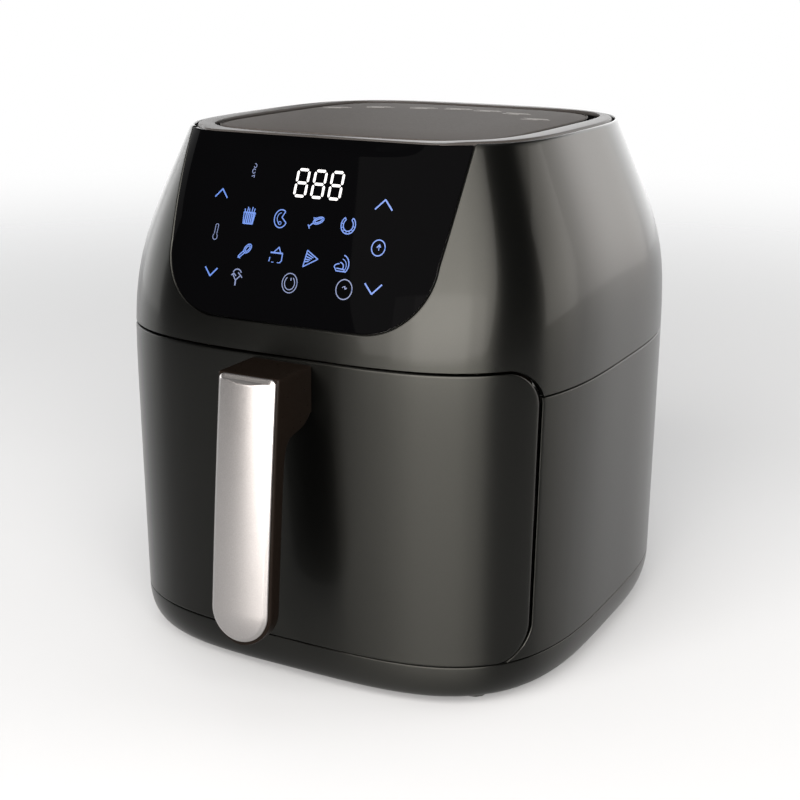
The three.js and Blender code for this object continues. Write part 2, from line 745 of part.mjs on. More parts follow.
const drive = new THREE.Group();
drive.position.y = AXIS_Y;
body.add(drive);
place(drive, "motor_bracket", motorBracket(), steel);
place(drive, "motor_stator", motorStator(), copper);
place(drive, "motor_cap", motorCap(), steel);
place(drive, "lower_bearing", bearing(), brass, [0, 0, 244.3]);
place(drive, "upper_bearing", bearing(), brass, [0, 0, 280]);
place(drive, "motor_shaft", motorShaft(), steel);
place(drive, "motor_rotor", motorRotor(), steel);
const hotFan = { hub: 11, bore: 4.3, tip: 54, height: 10, blades: 8, pitch: 0, disc: true };
place(drive, "hot_air_fan", impeller(hotFan), steel, [0, 0, 223]);
place(drive, "fan_nut", fanNut(), steel);
const coolFan = { hub: 13, bore: 4.3, tip: 52, height: 9, blades: 7, pitch: 35, disc: false };
place(drive, "cooling_fan", impeller(coolFan), darkPlastic, [0, 0, 291.5]);

place(body, "power_board", powerBoard(), board, [-84, 20, 238], [0, 0, Math.PI / 2]);
place(body, "thermal_cutout", thermalCutout(), steel, [0, 66, 235.6]);
place(body, "temperature_sensor", temperatureSensor(), steel, [...SENSOR, CHAMBER.top + 1.4]);
const switchFront = PANEL_BACK + 10.4;
place(body, "drawer_switch", drawerSwitch(), darkPlastic, [SWITCH_SIDE, switchFront, 120]);
place(body, "exhaust_duct", exhaustDuct(), darkPlastic);
place(body, "rear_outlet", rearOutlet(), blackPlastic);
const backWall = halfAxes(GLAND.z)[1];
place(body, "cord_gland", cordGland(), rubber, [0, backWall, GLAND.z], [-Math.PI / 2, 0, 0]);

const drawer = new THREE.Group();
body.add(drawer);
place(drawer, "drawer_front", drawerFront(), graphite);
place(drawer, "drawer_inner_panel", drawerInnerPanel(), blackPlastic);
place(drawer, "pan", pan(), nonStick);
place(drawer, "handle_body", handleBody(), blackPlastic);
place(drawer, "handle_cover", handleCover(), silver);
HANDLE_SCREWS.heights.forEach((z, i) => {
  const at = [0, HANDLE_SCREWS.back, z];
  place(drawer, `handle_screw_${i + 1}`, screw(HANDLE_SCREWS.length), steel, at, [Math.PI / 2, 0, 0]);
});

const crisper = new THREE.Group();
drawer.add(crisper);
place(crisper, "crisper_plate", crisperPlate(), nonStick);
const panMiddle = (PAN.front + PAN.back) / 2;
corners.forEach(([x, y], i) => {
  place(crisper, `crisper_bumper_${i + 1}`, crisperBumper(), rubber, [x * 92, panMiddle + y * 91, 0]);
});

const plungerMiddle = PANEL_BACK + GAP + PLUNGER.length / 2;
place(body, "switch_plunger", switchPlunger(), darkPlastic, [SWITCH_SIDE, plungerMiddle, 120]);

export default airFryer;
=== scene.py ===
"""A drawer air fryer with a sloping touch panel, built as its moulded, pressed and turned pieces.

Shapes are worked out in millimetres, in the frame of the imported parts, and go into their meshes in metres.
"""
import math

import bmesh
import bpy
import numpy as np
from mathutils import Matrix, Vector


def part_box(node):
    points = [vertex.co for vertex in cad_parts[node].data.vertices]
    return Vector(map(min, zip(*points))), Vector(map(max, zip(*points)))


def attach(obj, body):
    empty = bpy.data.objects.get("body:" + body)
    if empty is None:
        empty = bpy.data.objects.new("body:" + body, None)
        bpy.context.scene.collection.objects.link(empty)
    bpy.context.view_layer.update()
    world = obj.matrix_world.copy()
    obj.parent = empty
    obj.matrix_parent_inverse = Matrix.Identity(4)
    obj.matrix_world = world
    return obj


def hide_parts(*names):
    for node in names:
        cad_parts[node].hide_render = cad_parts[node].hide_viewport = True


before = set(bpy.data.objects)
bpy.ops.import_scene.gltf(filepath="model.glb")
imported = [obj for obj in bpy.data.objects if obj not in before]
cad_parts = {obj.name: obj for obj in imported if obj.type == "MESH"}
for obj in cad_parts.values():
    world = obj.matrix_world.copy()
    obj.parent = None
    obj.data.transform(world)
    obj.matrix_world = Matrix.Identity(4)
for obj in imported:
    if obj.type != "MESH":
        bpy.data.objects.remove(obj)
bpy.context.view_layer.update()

# ------------------------------------------------------------------ camera
# One lens for the whole picture. It looks down a little on the front and the right-hand side.
MM = 0.001


def span(node):
    """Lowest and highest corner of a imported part, in millimetres."""
    low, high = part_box(node)
    return np.array(low) / MM, np.array(high) / MM


base_low, base_high = span("base_cover")
axis_y = (base_low[1] + base_high[1]) / 2
floor_z = base_low[2]
rim_z = span("top_ring")[1][2]

AZIMUTH = math.radians(27.5)
ELEVATION = math.radians(15.06)
ROLL = math.radians(0.39)
DISTANCE = 968.5
AIM_HEIGHT = 166

level_back = Vector((math.sin(AZIMUTH), -math.cos(AZIMUTH), 0))
back = level_back * math.cos(ELEVATION) + Vector((0, 0, math.sin(ELEVATION)))
middle = Vector((0, axis_y, AIM_HEIGHT))
camera_data = bpy.data.cameras.new("camera")
camera_data.sensor_width = 36
camera_data.lens = 65.09
camera_data.shift_x = -0.01383
camera_data.shift_y = -0.04961
camera_data.clip_start = 0.01
camera = bpy.data.objects.new("camera", camera_data)
camera.rotation_mode = "QUATERNION"
camera.location = (middle + back * DISTANCE) * MM
upright = (-back).to_track_quat("-Z", "Y")
camera.rotation_quaternion = upright @ Matrix.Rotation(ROLL, 3, "Z").to_quaternion()
bpy.context.collection.objects.link(camera)
bpy.context.scene.camera = camera

# ------------------------------------------------------------------ base cover
# A shallow tray of moulded plastic, sprayed with graphite metallic paint and screwed on from below. Its
# lower edge turns under in a quarter ellipse. It has the form that all the outer mouldings share: a rounded
# square, squarer in front, that draws in above a knee.
WALL = 3.0


PAINT_SINK = 0.04
FRONT_SQUARE, REAR_SQUARE, TOP_SQUARER = 3.55, 3.15, 0.17
SQUARER_FROM, SQUARER_OVER = 206.0, 120.0


def half_axis(z, foot, slope, knee, softness, fall):
    """Half an axis at a height: a straight line less fall * softness * ln(1 + e^((z - knee) / softness))."""
    return foot + slope * z - fall * softness * np.logaddexp(0, (z - knee) / softness) - PAINT_SINK


def half_axes(z):
    """Half width and half depth of the body at a height; both bend over smoothly above their knee."""
    return half_axis(z, 149.9, 0.008, 248.0, 14.0, 0.4245), half_axis(z, 157.1, 0.018, 223.0, 13.0, 0.382)


def squareness(turn, z):
    """Superellipse exponent: squarer in front, and a little squarer towards the top by a smooth step."""
    rise = np.clip((z - SQUARER_FROM) / SQUARER_OVER, 0, 1)
    return np.where(np.sin(turn) < 0, FRONT_SQUARE, REAR_SQUARE) + TOP_SQUARER * rise * rise * (3 - 2 * rise)


def on_body(turn, z, inset=0.0):
    """Point of the body at an angle round its axis: |x/a|^n + |y/b|^n = 1, with a and b less the inset."""
    turn, z, inset = np.broadcast_arrays(np.asarray(turn, float), z, inset)
    width, depth = half_axes(z)
    c, s = np.cos(turn), np.sin(turn)
    n = squareness(turn, z)
    reach = (np.abs(c) ** n + np.abs(s) ** n) ** (-1 / n)
    return np.stack([(width - inset) * reach * c, (depth - inset) * reach * s + axis_y, z + 0 * c], -1)


def turn_at(x, z):
    """Angle round the axis of the front point that has this x at this height."""
    x, z = np.broadcast_arrays(np.asarray(x, float), z)
    n = squareness(np.full(x.shape, -1.0), z)
    side = np.clip(x / half_axes(z)[0], -1, 1)
    return np.arctan2(-((1 - np.abs(side) ** n) ** (1 / n)), side)


def on_front(x, z, inset=0.0):
    """Point of the body's front at a given x and height."""
    return on_body(turn_at(x, z), z, inset)


def mesh_piece(name, points, faces, material, body, slot, replaced=(), sharp=35):
    """Mesh object from points in millimetres and rows of four corners, fixed to its body."""
    mesh = bpy.data.meshes.new(name)
    points = np.ascontiguousarray(points, float).reshape(-1, 3) * MM
    mesh.vertices.add(len(points))
    mesh.vertices.foreach_set("co", points.ravel())
    corners = faces.shape[1]
    mesh.loops.add(faces.size)
    mesh.loops.foreach_set("vertex_index", faces.ravel())
    mesh.polygons.add(len(faces))
    mesh.polygons.foreach_set("loop_start", np.arange(len(faces)) * corners)
    mesh.update(calc_edges=True)
    return finish_piece(name, mesh, material, body, replaced, sharp)


def finish_piece(name, mesh, material, body, replaced=(), sharp=35):
    """Merges doubles, turns faces outwards, smooths all but sharp edges, and fixes the piece to its body."""
    work = bmesh.new()
    work.from_mesh(mesh)
    bmesh.ops.remove_doubles(work, verts=work.verts, dist=2e-6)
    bmesh.ops.dissolve_degenerate(work, edges=work.edges, dist=1e-7)
    bmesh.ops.recalc_face_normals(work, faces=work.faces)
    work.to_mesh(mesh)
    work.free()
    mesh.polygons.foreach_set("use_smooth", np.ones(len(mesh.polygons), bool))
    mesh.set_sharp_from_angle(angle=math.radians(sharp))
    mesh.materials.append(material)
    piece = bpy.data.objects.new(name, mesh)
    bpy.context.collection.objects.link(piece)
    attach(piece, body)
    if replaced:
        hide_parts(*replaced)
    return piece


def ring_faces(rings, around, closed=False):
    """Quads between neighbouring rings of points; closed joins the last ring to the first."""
    first = np.arange(rings if closed else rings - 1)[:, None]
    along = np.arange(around)[None, :]
    after = (first + 1) % rings
    beside = (along + 1) % around
    rows, next_rows = first * around, after * around
    corners = [rows + along, rows + beside, next_rows + beside, next_rows + along]
    return np.stack(np.broadcast_arrays(*corners), -1).reshape(-1, 4)


def ring_piece(name, rings, *fixing, closed=False, **settings):
    """A skin through a stack of closed rings of points. Rings shrunk to a line or a point close its ends."""
    rings = np.asarray(rings)
    return mesh_piece(name, rings, ring_faces(len(rings), rings.shape[1], closed), *fixing, **settings)


def rounding(radius, steps=4):
    """Quarter circle from a face over an edge: pairs of distance to the edge and depth below the face."""
    bend = np.linspace(0, math.pi / 2, steps + 1)
    return list(zip(radius * (1 - np.sin(bend)), radius * (1 - np.cos(bend))))


def panel_rings(outline, middle, place, radius=0.6, depth=WALL, across=40, behind=10):
    """Rings of a panel: out from its middle line over the face, round the edge, and back in behind.

    outline(margin) gives flat coordinates of the edge, drawn in by the margin; middle is where each of
    those points ends up; place turns flat coordinates and a depth into points.
    """
    rings = []
    for share in np.linspace(1, 0, across)[:-1] ** 1.3:
        rings.append(place(*((1 - share) * outline(radius) + share * middle), 0))
    rings += [place(*outline(margin), deep) for margin, deep in rounding(radius)]
    rings += [place(*outline(margin), depth - deep) for margin, deep in rounding(radius)[::-1]]
    for share in np.linspace(0, 1, behind)[1:]:
        rings.append(place(*((1 - share) * outline(radius) + share * middle), depth))
    return rings


class Value:
    """A node socket that carries a number; an expression on values adds its Math nodes."""

    def __init__(self, maker, socket):
        self.maker, self.socket = maker, socket

    def math(self, operation, *inputs):
        return self.maker.node("ShaderNodeMath", {"operation": operation}, *inputs)

    def __add__(self, other):
        return self.math("ADD", self, other)

    def __radd__(self, other):
        return self.math("ADD", other, self)

    def __sub__(self, other):
        return self.math("SUBTRACT", self, other)

    def __rsub__(self, other):
        return self.math("SUBTRACT", other, self)

    def __mul__(self, other):
        return self.math("MULTIPLY", self, other)

    def __rmul__(self, other):
        return self.math("MULTIPLY", other, self)


class Nodes:
    """Adds nodes to one node tree."""

    def __init__(self, tree):
        self.tree = tree

    def node(self, kind, settings=None, *inputs, output=0, at=None, **named):
        """A node: its settings first, then the values or links of its sockets, by place or by name."""
        made = self.tree.nodes.new(kind)
        for key, value in (settings or {}).items():
            setattr(made, key, value)
        by_name = {name.replace("_", " "): value for name, value in named.items()}
        for key, value in {**dict(enumerate(inputs)), **(at or {}), **by_name}.items():
            self.join(made.inputs[key], value)
        return Value(self, made.outputs[output])

    def join(self, socket, value):
        """Links a value to a socket, or sets a constant on it."""
        if isinstance(value, Value):
            self.tree.links.new(value.socket, socket)
        else:
            socket.default_value = value


class Material(Nodes):
    """A procedural material around one Principled shader, with constants on the shader's own sockets."""

    def __init__(self, name, **constants):
        self.material = bpy.data.materials.new(name)
        self.material.use_nodes = True
        super().__init__(self.material.node_tree)
        self.shader = self.tree.nodes["Principled BSDF"]
        for socket, value in constants.items():
            self.shader.inputs[socket.replace("_", " ")].default_value = value

    def feed(self, socket, value):
        """Links a value to an input of the shader."""
        self.join(self.shader.inputs[socket], value)

    def noise(self, scale, detail=2.0):
        """Cloudy noise from 0 to 1 on object coordinates in metres."""
        where = self.node("ShaderNodeTexCoord", output="Object")
        return self.node("ShaderNodeTexNoise", None, where, Scale=scale, Detail=detail, Roughness=0.5)

    def blend(self, share, first, second):
        """Colour between two colours."""
        ends = {6: (*first, 1), 7: (*second, 1)}
        return self.node("ShaderNodeMix", {"data_type": "RGBA"}, share, at=ends, output=2)

    def bump(self, height, distance, strength=1.0):
        """Raises the surface by a height pattern; the distance is in metres."""
        raised = self.node("ShaderNodeBump", None, Strength=strength, Distance=distance, Height=height)
        self.feed("Normal", raised)


def graphite_paint():
    """Metallic graphite paint under a thin clear coat. Its flakes give a fine grain and tall highlights."""
    paint = Material("graphite_paint", Metallic=1.0, Coat_Weight=0.06, Coat_Roughness=0.08, Anisotropic=0.9,
                     Anisotropic_Rotation=0.25)
    flakes = paint.noise(2600.0, 1.0)
    cloud = paint.noise(9.0, 3.0)
    shine = (flakes - 0.5) * 0.9 + (cloud - 0.5) * 0.15 + 0.5
    paint.feed("Base Color", paint.blend(shine, (0.0142, 0.0146, 0.0130), (0.0238, 0.0236, 0.0217)))
    paint.feed("Roughness", 0.30 + flakes * 0.10)
    paint.bump(flakes, 0.00002, 0.25)
    return paint.material


graphite = graphite_paint()

AROUND = 480
BEVEL_INSET, BEVEL_HEIGHT = 10.4, 21.9
all_round = np.linspace(0, 2 * math.pi, AROUND, endpoint=False)


def level(z, inset=0.0, share=1.0):
    """One ring round the body, drawn towards the axis by a share."""
    ring = on_body(all_round, z, inset)
    ring[:, 0] *= share
    ring[:, 1] = axis_y + (ring[:, 1] - axis_y) * share
    return ring


def base_rings():
    """Underside, quarter-ellipse bevel, side, rounded top edge, and the inside of the tray."""
    seam = base_high[2]
    rings = [level(floor_z, BEVEL_INSET, share) for share in np.linspace(0, 1, 12)[:-1]]
    for bend in np.linspace(0, math.pi / 2, 13):
        rise = BEVEL_HEIGHT * (1 - math.cos(bend))
        rings.append(level(floor_z + rise, BEVEL_INSET * (1 - math.sin(bend))))
    rings += [level(seam - rise, deep) for rise, deep in rounding(0.5)]
    rings += [level(seam, WALL), level(floor_z + BEVEL_HEIGHT, WALL)]
    rings += [level(floor_z + WALL, BEVEL_INSET + WALL, share) for share in (1, 0)]
    return rings


ring_piece("base_moulding", base_rings(), graphite, "housing", "graphite_shell", ["base_cover"])

# ------------------------------------------------------------------ drawer front
# The front of the drawer is a painted moulding of its own. Its outline is a rectangle with quarter-ellipse
# corners, set into the housing with a dark shadow gap all round.
drawer_low, drawer_high = span("drawer_front")
CORNER_X, CORNER_Z = 12.3, 22.0
DRAWER_TAPER = 0.00011
DRAWER_GAP = 1.0
drawer_half = drawer_high[0]
drawer_middle = (drawer_low[2] + drawer_high[2]) / 2


def tapered(x, z):
    """The drawer narrows a little downwards."""
    return x * (1 + DRAWER_TAPER * (z - drawer_high[2]))


def drawer_outline(grow, straight=90, upright=50, corner=28):
    """Edge of the drawer front as x and z, anticlockwise from the lower right corner, grown by a margin."""
    rx, rz = CORNER_X + grow, CORNER_Z + grow
    right, top, bottom = drawer_half - CORNER_X, drawer_high[2] - CORNER_Z, drawer_low[2] + CORNER_Z
    bend = np.linspace(0, math.pi / 2, corner, endpoint=False)
    centres = [(right, bottom), (right, top), (-right, top), (-right, bottom)]
    xs, zs = [], []
    for turn, (cx, cz) in enumerate(centres):
        angle = bend + (turn - 1) * math.pi / 2
        xs.append(cx + rx * np.cos(angle))
        zs.append(cz + rz * np.sin(angle))
        after = centres[(turn + 1) % 4]
        out = turn * math.pi / 2
        count = straight if turn % 2 else upright
        start = np.array([cx + rx * math.cos(out), cz + rz * math.sin(out)])
        end = np.array([after[0] + rx * math.cos(out), after[1] + rz * math.sin(out)])
        line = start[:, None] + (end - start)[:, None] * np.linspace(0, 1, count, endpoint=False)
        xs.append(line[0])
        zs.append(line[1])
    x, z = np.concatenate(xs), np.concatenate(zs)
    return np.array([tapered(x, z), z])


def drawer_edge(z, grow):
    """Half width of the grown drawer outline at a height."""
    bottom, top = drawer_low[2] + CORNER_Z, drawer_high[2] - CORNER_Z
    past = np.maximum(np.maximum(bottom - z, z - top), 0)
    round_off = np.sqrt(np.clip(1 - (past / (CORNER_Z + grow)) ** 2, 0, 1))
    return tapered(drawer_half - CORNER_X + (CORNER_X + grow) * round_off, z)


def drawer_spine():
    """Middle line that the drawer's rings draw in to."""
    x, z = drawer_outline(-0.6)
    reach = drawer_half - (drawer_high[2] - drawer_low[2]) / 2
    return np.array([np.clip(x, -reach, reach), np.full(x.shape, drawer_middle)])


ring_piece("drawer_skin", panel_rings(lambda m: drawer_outline(-m), drawer_spine(), on_front, 0.7), graphite,
           "drawer", "graphite_shell", ["drawer_front"])

# ------------------------------------------------------------------ upper housing
# One painted moulding from the drawer's top seam and the side seams up to the rim, cut out in front for the
# pane of glass. At the top it turns in over a thin rounded lip that the ring sits behind.
GLASS_TOP = rim_z - 1.6
GLASS_GAP = 0.7
GLASS_FOOT, GLASS_KNEE = 48.0, 262.0
GLASS_CORNER_X, GLASS_CORNER_Z = 40.5, 38.0


def glass_outline(grow, top=GLASS_TOP, side=70, corner=50, low=60):
    """Edge of the pane as x and z, from its top left corner down, along the bottom and up to the top right.

    The sides lean by x = x0 + 0.135 h - 0.00075 h^2 over the height h above the knee; the corners are
    quarter ellipses.
    """
    z_side = top + (GLASS_KNEE - top) * np.linspace(0, 1, side, endpoint=False)
    lean = z_side - GLASS_KNEE
    x_side = GLASS_FOOT + GLASS_CORNER_X + grow + 0.135 * lean - 0.00075 * lean * lean
    bend = np.linspace(0, math.pi / 2, corner, endpoint=False)
    x_corner = GLASS_FOOT + (GLASS_CORNER_X + grow) * np.cos(bend)
    z_corner = GLASS_KNEE - (GLASS_CORNER_Z + grow) * np.sin(bend)
    x_left = -np.concatenate([x_side, x_corner])
    z_left = np.concatenate([z_side, z_corner])
    x_low = np.linspace(-GLASS_FOOT, GLASS_FOOT, low)
    z_low = np.full(low, GLASS_KNEE - GLASS_CORNER_Z - grow)
    x = np.concatenate([x_left, x_low, -x_left[::-1]])
    return np.array([x, np.concatenate([z_left, z_low, z_left[::-1]])])


SIDE_SEAM = span("upper_housing")[0][2]
LIP_TOP = rim_z - 0.9
LIP = [(1.3, 0.0), (0.8, 0.12), (0.35, 0.4), (0.08, 0.85), (0.0, 1.3), (0.15, 1.9), (0.8, 2.4), (7.0, 2.8)]
FRONT_COUNT, REAR_COUNT = 300, 420


def lower_edge(up):
    """Lower edge of the housing as angle and height: over the drawer, then round the back, raised by up."""
    grow = DRAWER_GAP + up
    seam = SIDE_SEAM + up
    top = drawer_high[2] - CORNER_Z
    start = math.asin((seam - top) / (CORNER_Z + grow))
    bend = np.linspace(math.pi - start, math.pi / 2, 90, endpoint=False)
    x_corner = -(drawer_half - CORNER_X) + (CORNER_X + grow) * np.cos(bend)
    z_corner = top + (CORNER_Z + grow) * np.sin(bend)
    x_top = np.linspace(-(drawer_half - CORNER_X), drawer_half - CORNER_X, FRONT_COUNT - 180)
    x = np.concatenate([x_corner, x_top, -x_corner[::-1]])
    z = np.concatenate([z_corner, np.full(x_top.size, drawer_high[2] + grow), z_corner[::-1]])
    turn = turn_at(tapered(x, z), z)
    right = turn[-1]
    rear = np.linspace(right, 2 * math.pi + turn[0], REAR_COUNT + 2)[1:-1]
    return np.array([np.concatenate([turn, rear]), np.concatenate([z, np.full(rear.size, seam)])])


def upper_edge(grow, z_top):
    """Upper edge as angle and height: round the glass, then along the lip behind it."""
    x, z = glass_outline(GLASS_GAP + grow, z_top)
    turn = turn_at(x, z)
    rear = np.linspace(turn[-1], 2 * math.pi + turn[0], REAR_COUNT + 2)[1:-1]
    return np.array([np.concatenate([turn, rear]), np.concatenate([z, np.full(rear.size, z_top)])])


def upper_rings():
    """Outside from the seam up, the glass edge and the lip, and the inside down again."""
    is_lip = np.arange(FRONT_COUNT + REAR_COUNT) >= FRONT_COUNT
    start = LIP_TOP - LIP[0][0]
    rings = []
    edge, rim = lower_edge(0.6), upper_edge(0.6, start)
    for share in np.linspace(0, 1, 90):
        rings.append(on_body(*((1 - share) * edge + share * rim), 0))
    glass_steps = [(0.6 - m, d) for m, d in rounding(0.6, 4)] + [(0.6, 1.6), (0.6, 2.4), (0.6, WALL)]
    for (in_by, deep), (down, inset) in zip(glass_steps, LIP):
        turn, z = upper_edge(0.6 - in_by, start)
        ring_z = np.where(is_lip, LIP_TOP - down, z)
        rings.append(on_body(turn, ring_z, np.where(is_lip, inset, deep)))
    inner_rim = upper_edge(0.0, LIP_TOP - LIP[-1][0])
    for share in np.linspace(0, 1, 14)[:-1]:
        rings.append(on_body(*((1 - share) * inner_rim + share * edge), WALL))
    for margin, deep in rounding(0.6)[::-1]:
        rings.append(on_body(*lower_edge(margin), WALL - deep))
    return rings


ring_piece("upper_moulding", upper_rings(), graphite, "housing", "graphite_shell", ["upper_housing"],
           closed=True)

# ------------------------------------------------------------------ lower housing
# A moulding that wraps the sides and the back, from one edge of the drawer opening round to the other.
lower_low, lower_high = span("lower_housing")
SPINE_SHORT = 0.55


def lower_outline(m, around=300, upright=60):
    """Edge as angle and height, drawn in by m: along the base seam, up, back along the top, and down."""
    low, high = lower_low[2] + m, lower_high[2] - m
    grow = DRAWER_GAP + m
    z_side = np.linspace(low, high, upright)
    right = turn_at(drawer_edge(z_side, grow), z_side)
    left = 2 * math.pi + turn_at(-drawer_edge(z_side, grow), z_side)
    bottom = np.linspace(right[0], left[0], around)
    top = np.linspace(left[-1], right[-1], around)
    turn = np.concatenate([bottom[:-1], left[:-1], top[:-1], right[:0:-1]])
    z = np.concatenate([np.full(around - 1, low), z_side[:-1], np.full(around - 1, high), z_side[:0:-1]])
    return np.array([turn, z])


def lower_spine():
    """Middle line of the wrap, stopping short of the drawer opening."""
    turn, z = lower_outline(0.6)
    start, end = turn.min() + SPINE_SHORT, turn.max() - SPINE_SHORT
    share = (turn - turn.min()) / (turn.max() - turn.min())
    return np.array([start + (end - start) * share, np.full(z.shape, (lower_low[2] + lower_high[2]) / 2)])


ring_piece("lower_moulding", panel_rings(lower_outline, lower_spine(), on_body, 0.6, across=30), graphite,
           "housing", "graphite_shell", ["lower_housing"])

# ------------------------------------------------------------------ control glass
# Black toughened glass, printed black behind, with polished edges.
def black_glass():
    """Deep black with a very faint, clean reflection."""
    glass = Material("black_glass", Base_Color=(0.0006, 0.0006, 0.0007, 1), Specular_IOR_Level=0.004)
    glass.feed("Roughness", 0.025 + glass.noise(60.0, 2.0) * 0.02)
    return glass.material


GLASS_TUCK, TUCK_HEIGHT, TUCK_REACH = 4.5, 9.0, 72.0
SPINE_X, SPINE_Z = 42, 272.0


def mid_share(x):
    """One in the middle of the pane, falling to zero towards its upper corners: 1 - (x / reach)^4."""
    return np.clip(1 - (np.abs(x) / TUCK_REACH) ** 4, 0, 1)


def on_pane(x, z, deep=0.0):
    """Point of the pane at a given x and height: the body's form, drawn in towards the top by a parabola."""
    up = np.clip((z - (GLASS_TOP - TUCK_HEIGHT)) / TUCK_HEIGHT, 0, 1)
    return on_front(x, z, deep + GLASS_TUCK * up * up * mid_share(x))


def pane_outline(m, count=100):
    """Closed edge of the pane, with its top edge added."""
    edge = glass_outline(-m, GLASS_TOP - m)
    top = np.linspace(edge[0, -1], edge[0, 0], count + 2)[1:-1]
    return np.hstack([edge, [top, np.full(count, GLASS_TOP - m)]])


def pane_spine():
    """Middle line that the pane's rings draw in to."""
    x, z = pane_outline(0.5)
    return np.array([np.clip(x, -SPINE_X, SPINE_X), np.full(x.shape, SPINE_Z)])


ring_piece("glass_pane", panel_rings(pane_outline, pane_spine(), on_pane, 0.5, across=90), black_glass(),
           "housing", "control_glass", ["control_glass"])

# ------------------------------------------------------------------ display and touch marks
# The digits and the touch symbols are lit from behind the glass. Each stroke is a thin raised strip that
# follows the glass. The digits are white, most symbols are blue, and five are a dimmer grey blue.
STROKE_RISE, STROKE_SINK = 0.05, 0.02


def strip(path, widths, place):
    """A thin closed strip along a path: four points across at each station, left and right, above and below.

    The side offset is half the width times the path's normal, which is its direction turned by 90 degrees.
    """
    path = np.asarray(path, float)
    widths = np.broadcast_to(np.asarray(widths, float), len(path))
    along = np.gradient(path, axis=0)
    if np.allclose(path[0], path[-1]):
        along[0] = along[-1] = path[1] - path[-2]
    along /= np.linalg.norm(along, axis=1)[:, None]
    side = np.stack([-along[:, 1], along[:, 0]], -1) * widths[:, None] / 2
    left, right = path + side, path - side
    rows = [place(*left.T, -STROKE_RISE), place(*right.T, -STROKE_RISE),
            place(*right.T, STROKE_SINK), place(*left.T, STROKE_SINK)]
    points = np.stack(rows, 1)
    faces = ring_faces(len(path), 4)
    ends = np.array([[0, 1, 2, 3], [3, 2, 1, 0]]) + [[0], [4 * (len(path) - 1)]]
    return points.reshape(-1, 3), np.vstack([faces, ends])


def strip_piece(name, strokes, place, material, slot):
    """One object from many strips, given as pairs of path and widths."""
    points, faces, start = [], [], 0
    for path, widths in strokes:
        p, f = strip(path, widths, place)
        points.append(p)
        faces.append(f + start)
        start += len(p)
    return mesh_piece(name, np.concatenate(points), np.concatenate(faces), material, "housing", slot)


def lit(name, colour, strength):
    """A lit print: emission with a slight unevenness, as of a lamp behind a diffuser."""
    glow = Material(name, Base_Color=(0.0, 0.0, 0.0, 1), Roughness=0.5, Emission_Strength=strength)
    uneven = glow.noise(180.0, 1.0)
    dim = tuple(0.82 * c for c in colour)
    glow.feed("Emission Color", glow.blend(uneven, dim, colour))
    return glow.material


def arc(width, x, z, rx, rz, start, end, count=28, tilt=0.0):
    """Stroke along part of an ellipse about a point, between two angles in degrees, tilted by a third."""
    angle = np.radians(np.linspace(start, end, count))
    tilt = math.radians(tilt)
    u, v = rx * np.cos(angle), rz * np.sin(angle)
    c, s = math.cos(tilt), math.sin(tilt)
    return np.stack([x + u * c - v * s, z + u * s + v * c], -1), width


def line(width, *corners):
    """Stroke through corners, with stations close to each corner so that the strip keeps its width."""
    corners = np.asarray(corners, float)
    path = []
    for a, b in zip(corners[:-1], corners[1:]):
        path += [a + (b - a) * t for t in (0.0, 0.02, 0.98)]
    return np.array([*path, corners[-1]]), width


def moved(strokes, x, z, size=1.0):
    """Strokes drawn about the origin, scaled and moved to a place on the glass."""
    return [(np.asarray(path) * size + (x, z), width) for path, width in strokes]


def bar(start, end, width):
    """One display segment: a bar with pointed ends."""
    start, end = np.array(start, float), np.array(end, float)
    way = (end - start) / np.linalg.norm(end - start)
    tip = width * 0.42
    path = np.array([start, start + way * tip, end - way * tip, end])
    return path, np.array([width * 0.25, width, width, width * 0.25])


def digit(x, z, width=7.1, height=14.3, slant=0.045, thick=1.5, gap=0.62):
    """A figure eight of seven segments, leaning to the right, about its lower left corner."""
    ends = [((0, 0), (1, 0)), ((0, 0.5), (1, 0.5)), ((0, 1), (1, 1)), ((0, 0), (0, 0.5)), ((1, 0), (1, 0.5)),
            ((0, 0.5), (0, 1)), ((1, 0.5), (1, 1))]
    strokes = []
    for pair in ends:
        a, b = [np.array([x + u * width + v * height * slant, z + v * height]) for u, v in pair]
        way = (b - a) / np.linalg.norm(b - a)
        strokes.append(bar(a + way * gap, b - way * gap, thick))
    return strokes


DIGIT_LOW, DIGIT_LEFT, DIGIT_PITCH = 294.1, -5.4, 11.25
strip_piece("display_digits", [s for i in range(3) for s in digit(DIGIT_LEFT + DIGIT_PITCH * i, DIGIT_LOW)],
            on_front, lit("lit_white", (1.0, 0.97, 0.94), 1.6), "control_glass")

THIN, MIDDLE, THICK = 0.42, 0.62, 0.85
CHIPS = [line(MIDDLE, (-3.5, -4.5), (2.9, -4.5), (3.9, 1.7), (-3.9, 1.7), (-3.5, -4.5))]
CHIPS += [line(THICK, (x, -4.2), (x + 0.4, 1.6)) for x in (-2.6, -1.3, 0.0, 1.3, 2.5)]
CHIPS += [line(MIDDLE, (x, 1.9), (x + lean, top)) for x, lean, top in
          ((-3.2, -0.4, 3.6), (-1.7, 0.3, 4.7), (-0.2, -0.3, 3.9), (1.4, 0.3, 4.8), (2.8, 0.5, 4.1))]
STEAK = [arc(MIDDLE, 0, 0, 4.3, 4.9, 55, 335), line(MIDDLE, (2.5, 4.0), (0.6, 0.8), (3.9, -2.0)),
         arc(THIN, 0.2, 0.2, 2.6, 3.0, 95, 250), arc(THIN, -0.3, -2.4, 1.0, 0.8, 0, 360, 14)]
DRUMSTICK = [arc(MIDDLE, 1.8, 0.9, 3.5, 1.6, 0, 360, 30, 22),
             arc(MIDDLE, 1.8, 0.9, 2.5, 0.8, 0, 360, 24, 22),
             line(THIN, (-0.6, 0.5), (-1.6, 2.2), (0.6, 2.2)), line(MIDDLE, (-1.2, -0.4), (-3.9, -2.6)),
             line(MIDDLE, (-4.6, -1.7), (-3.9, -2.6), (-3.4, -3.8))]
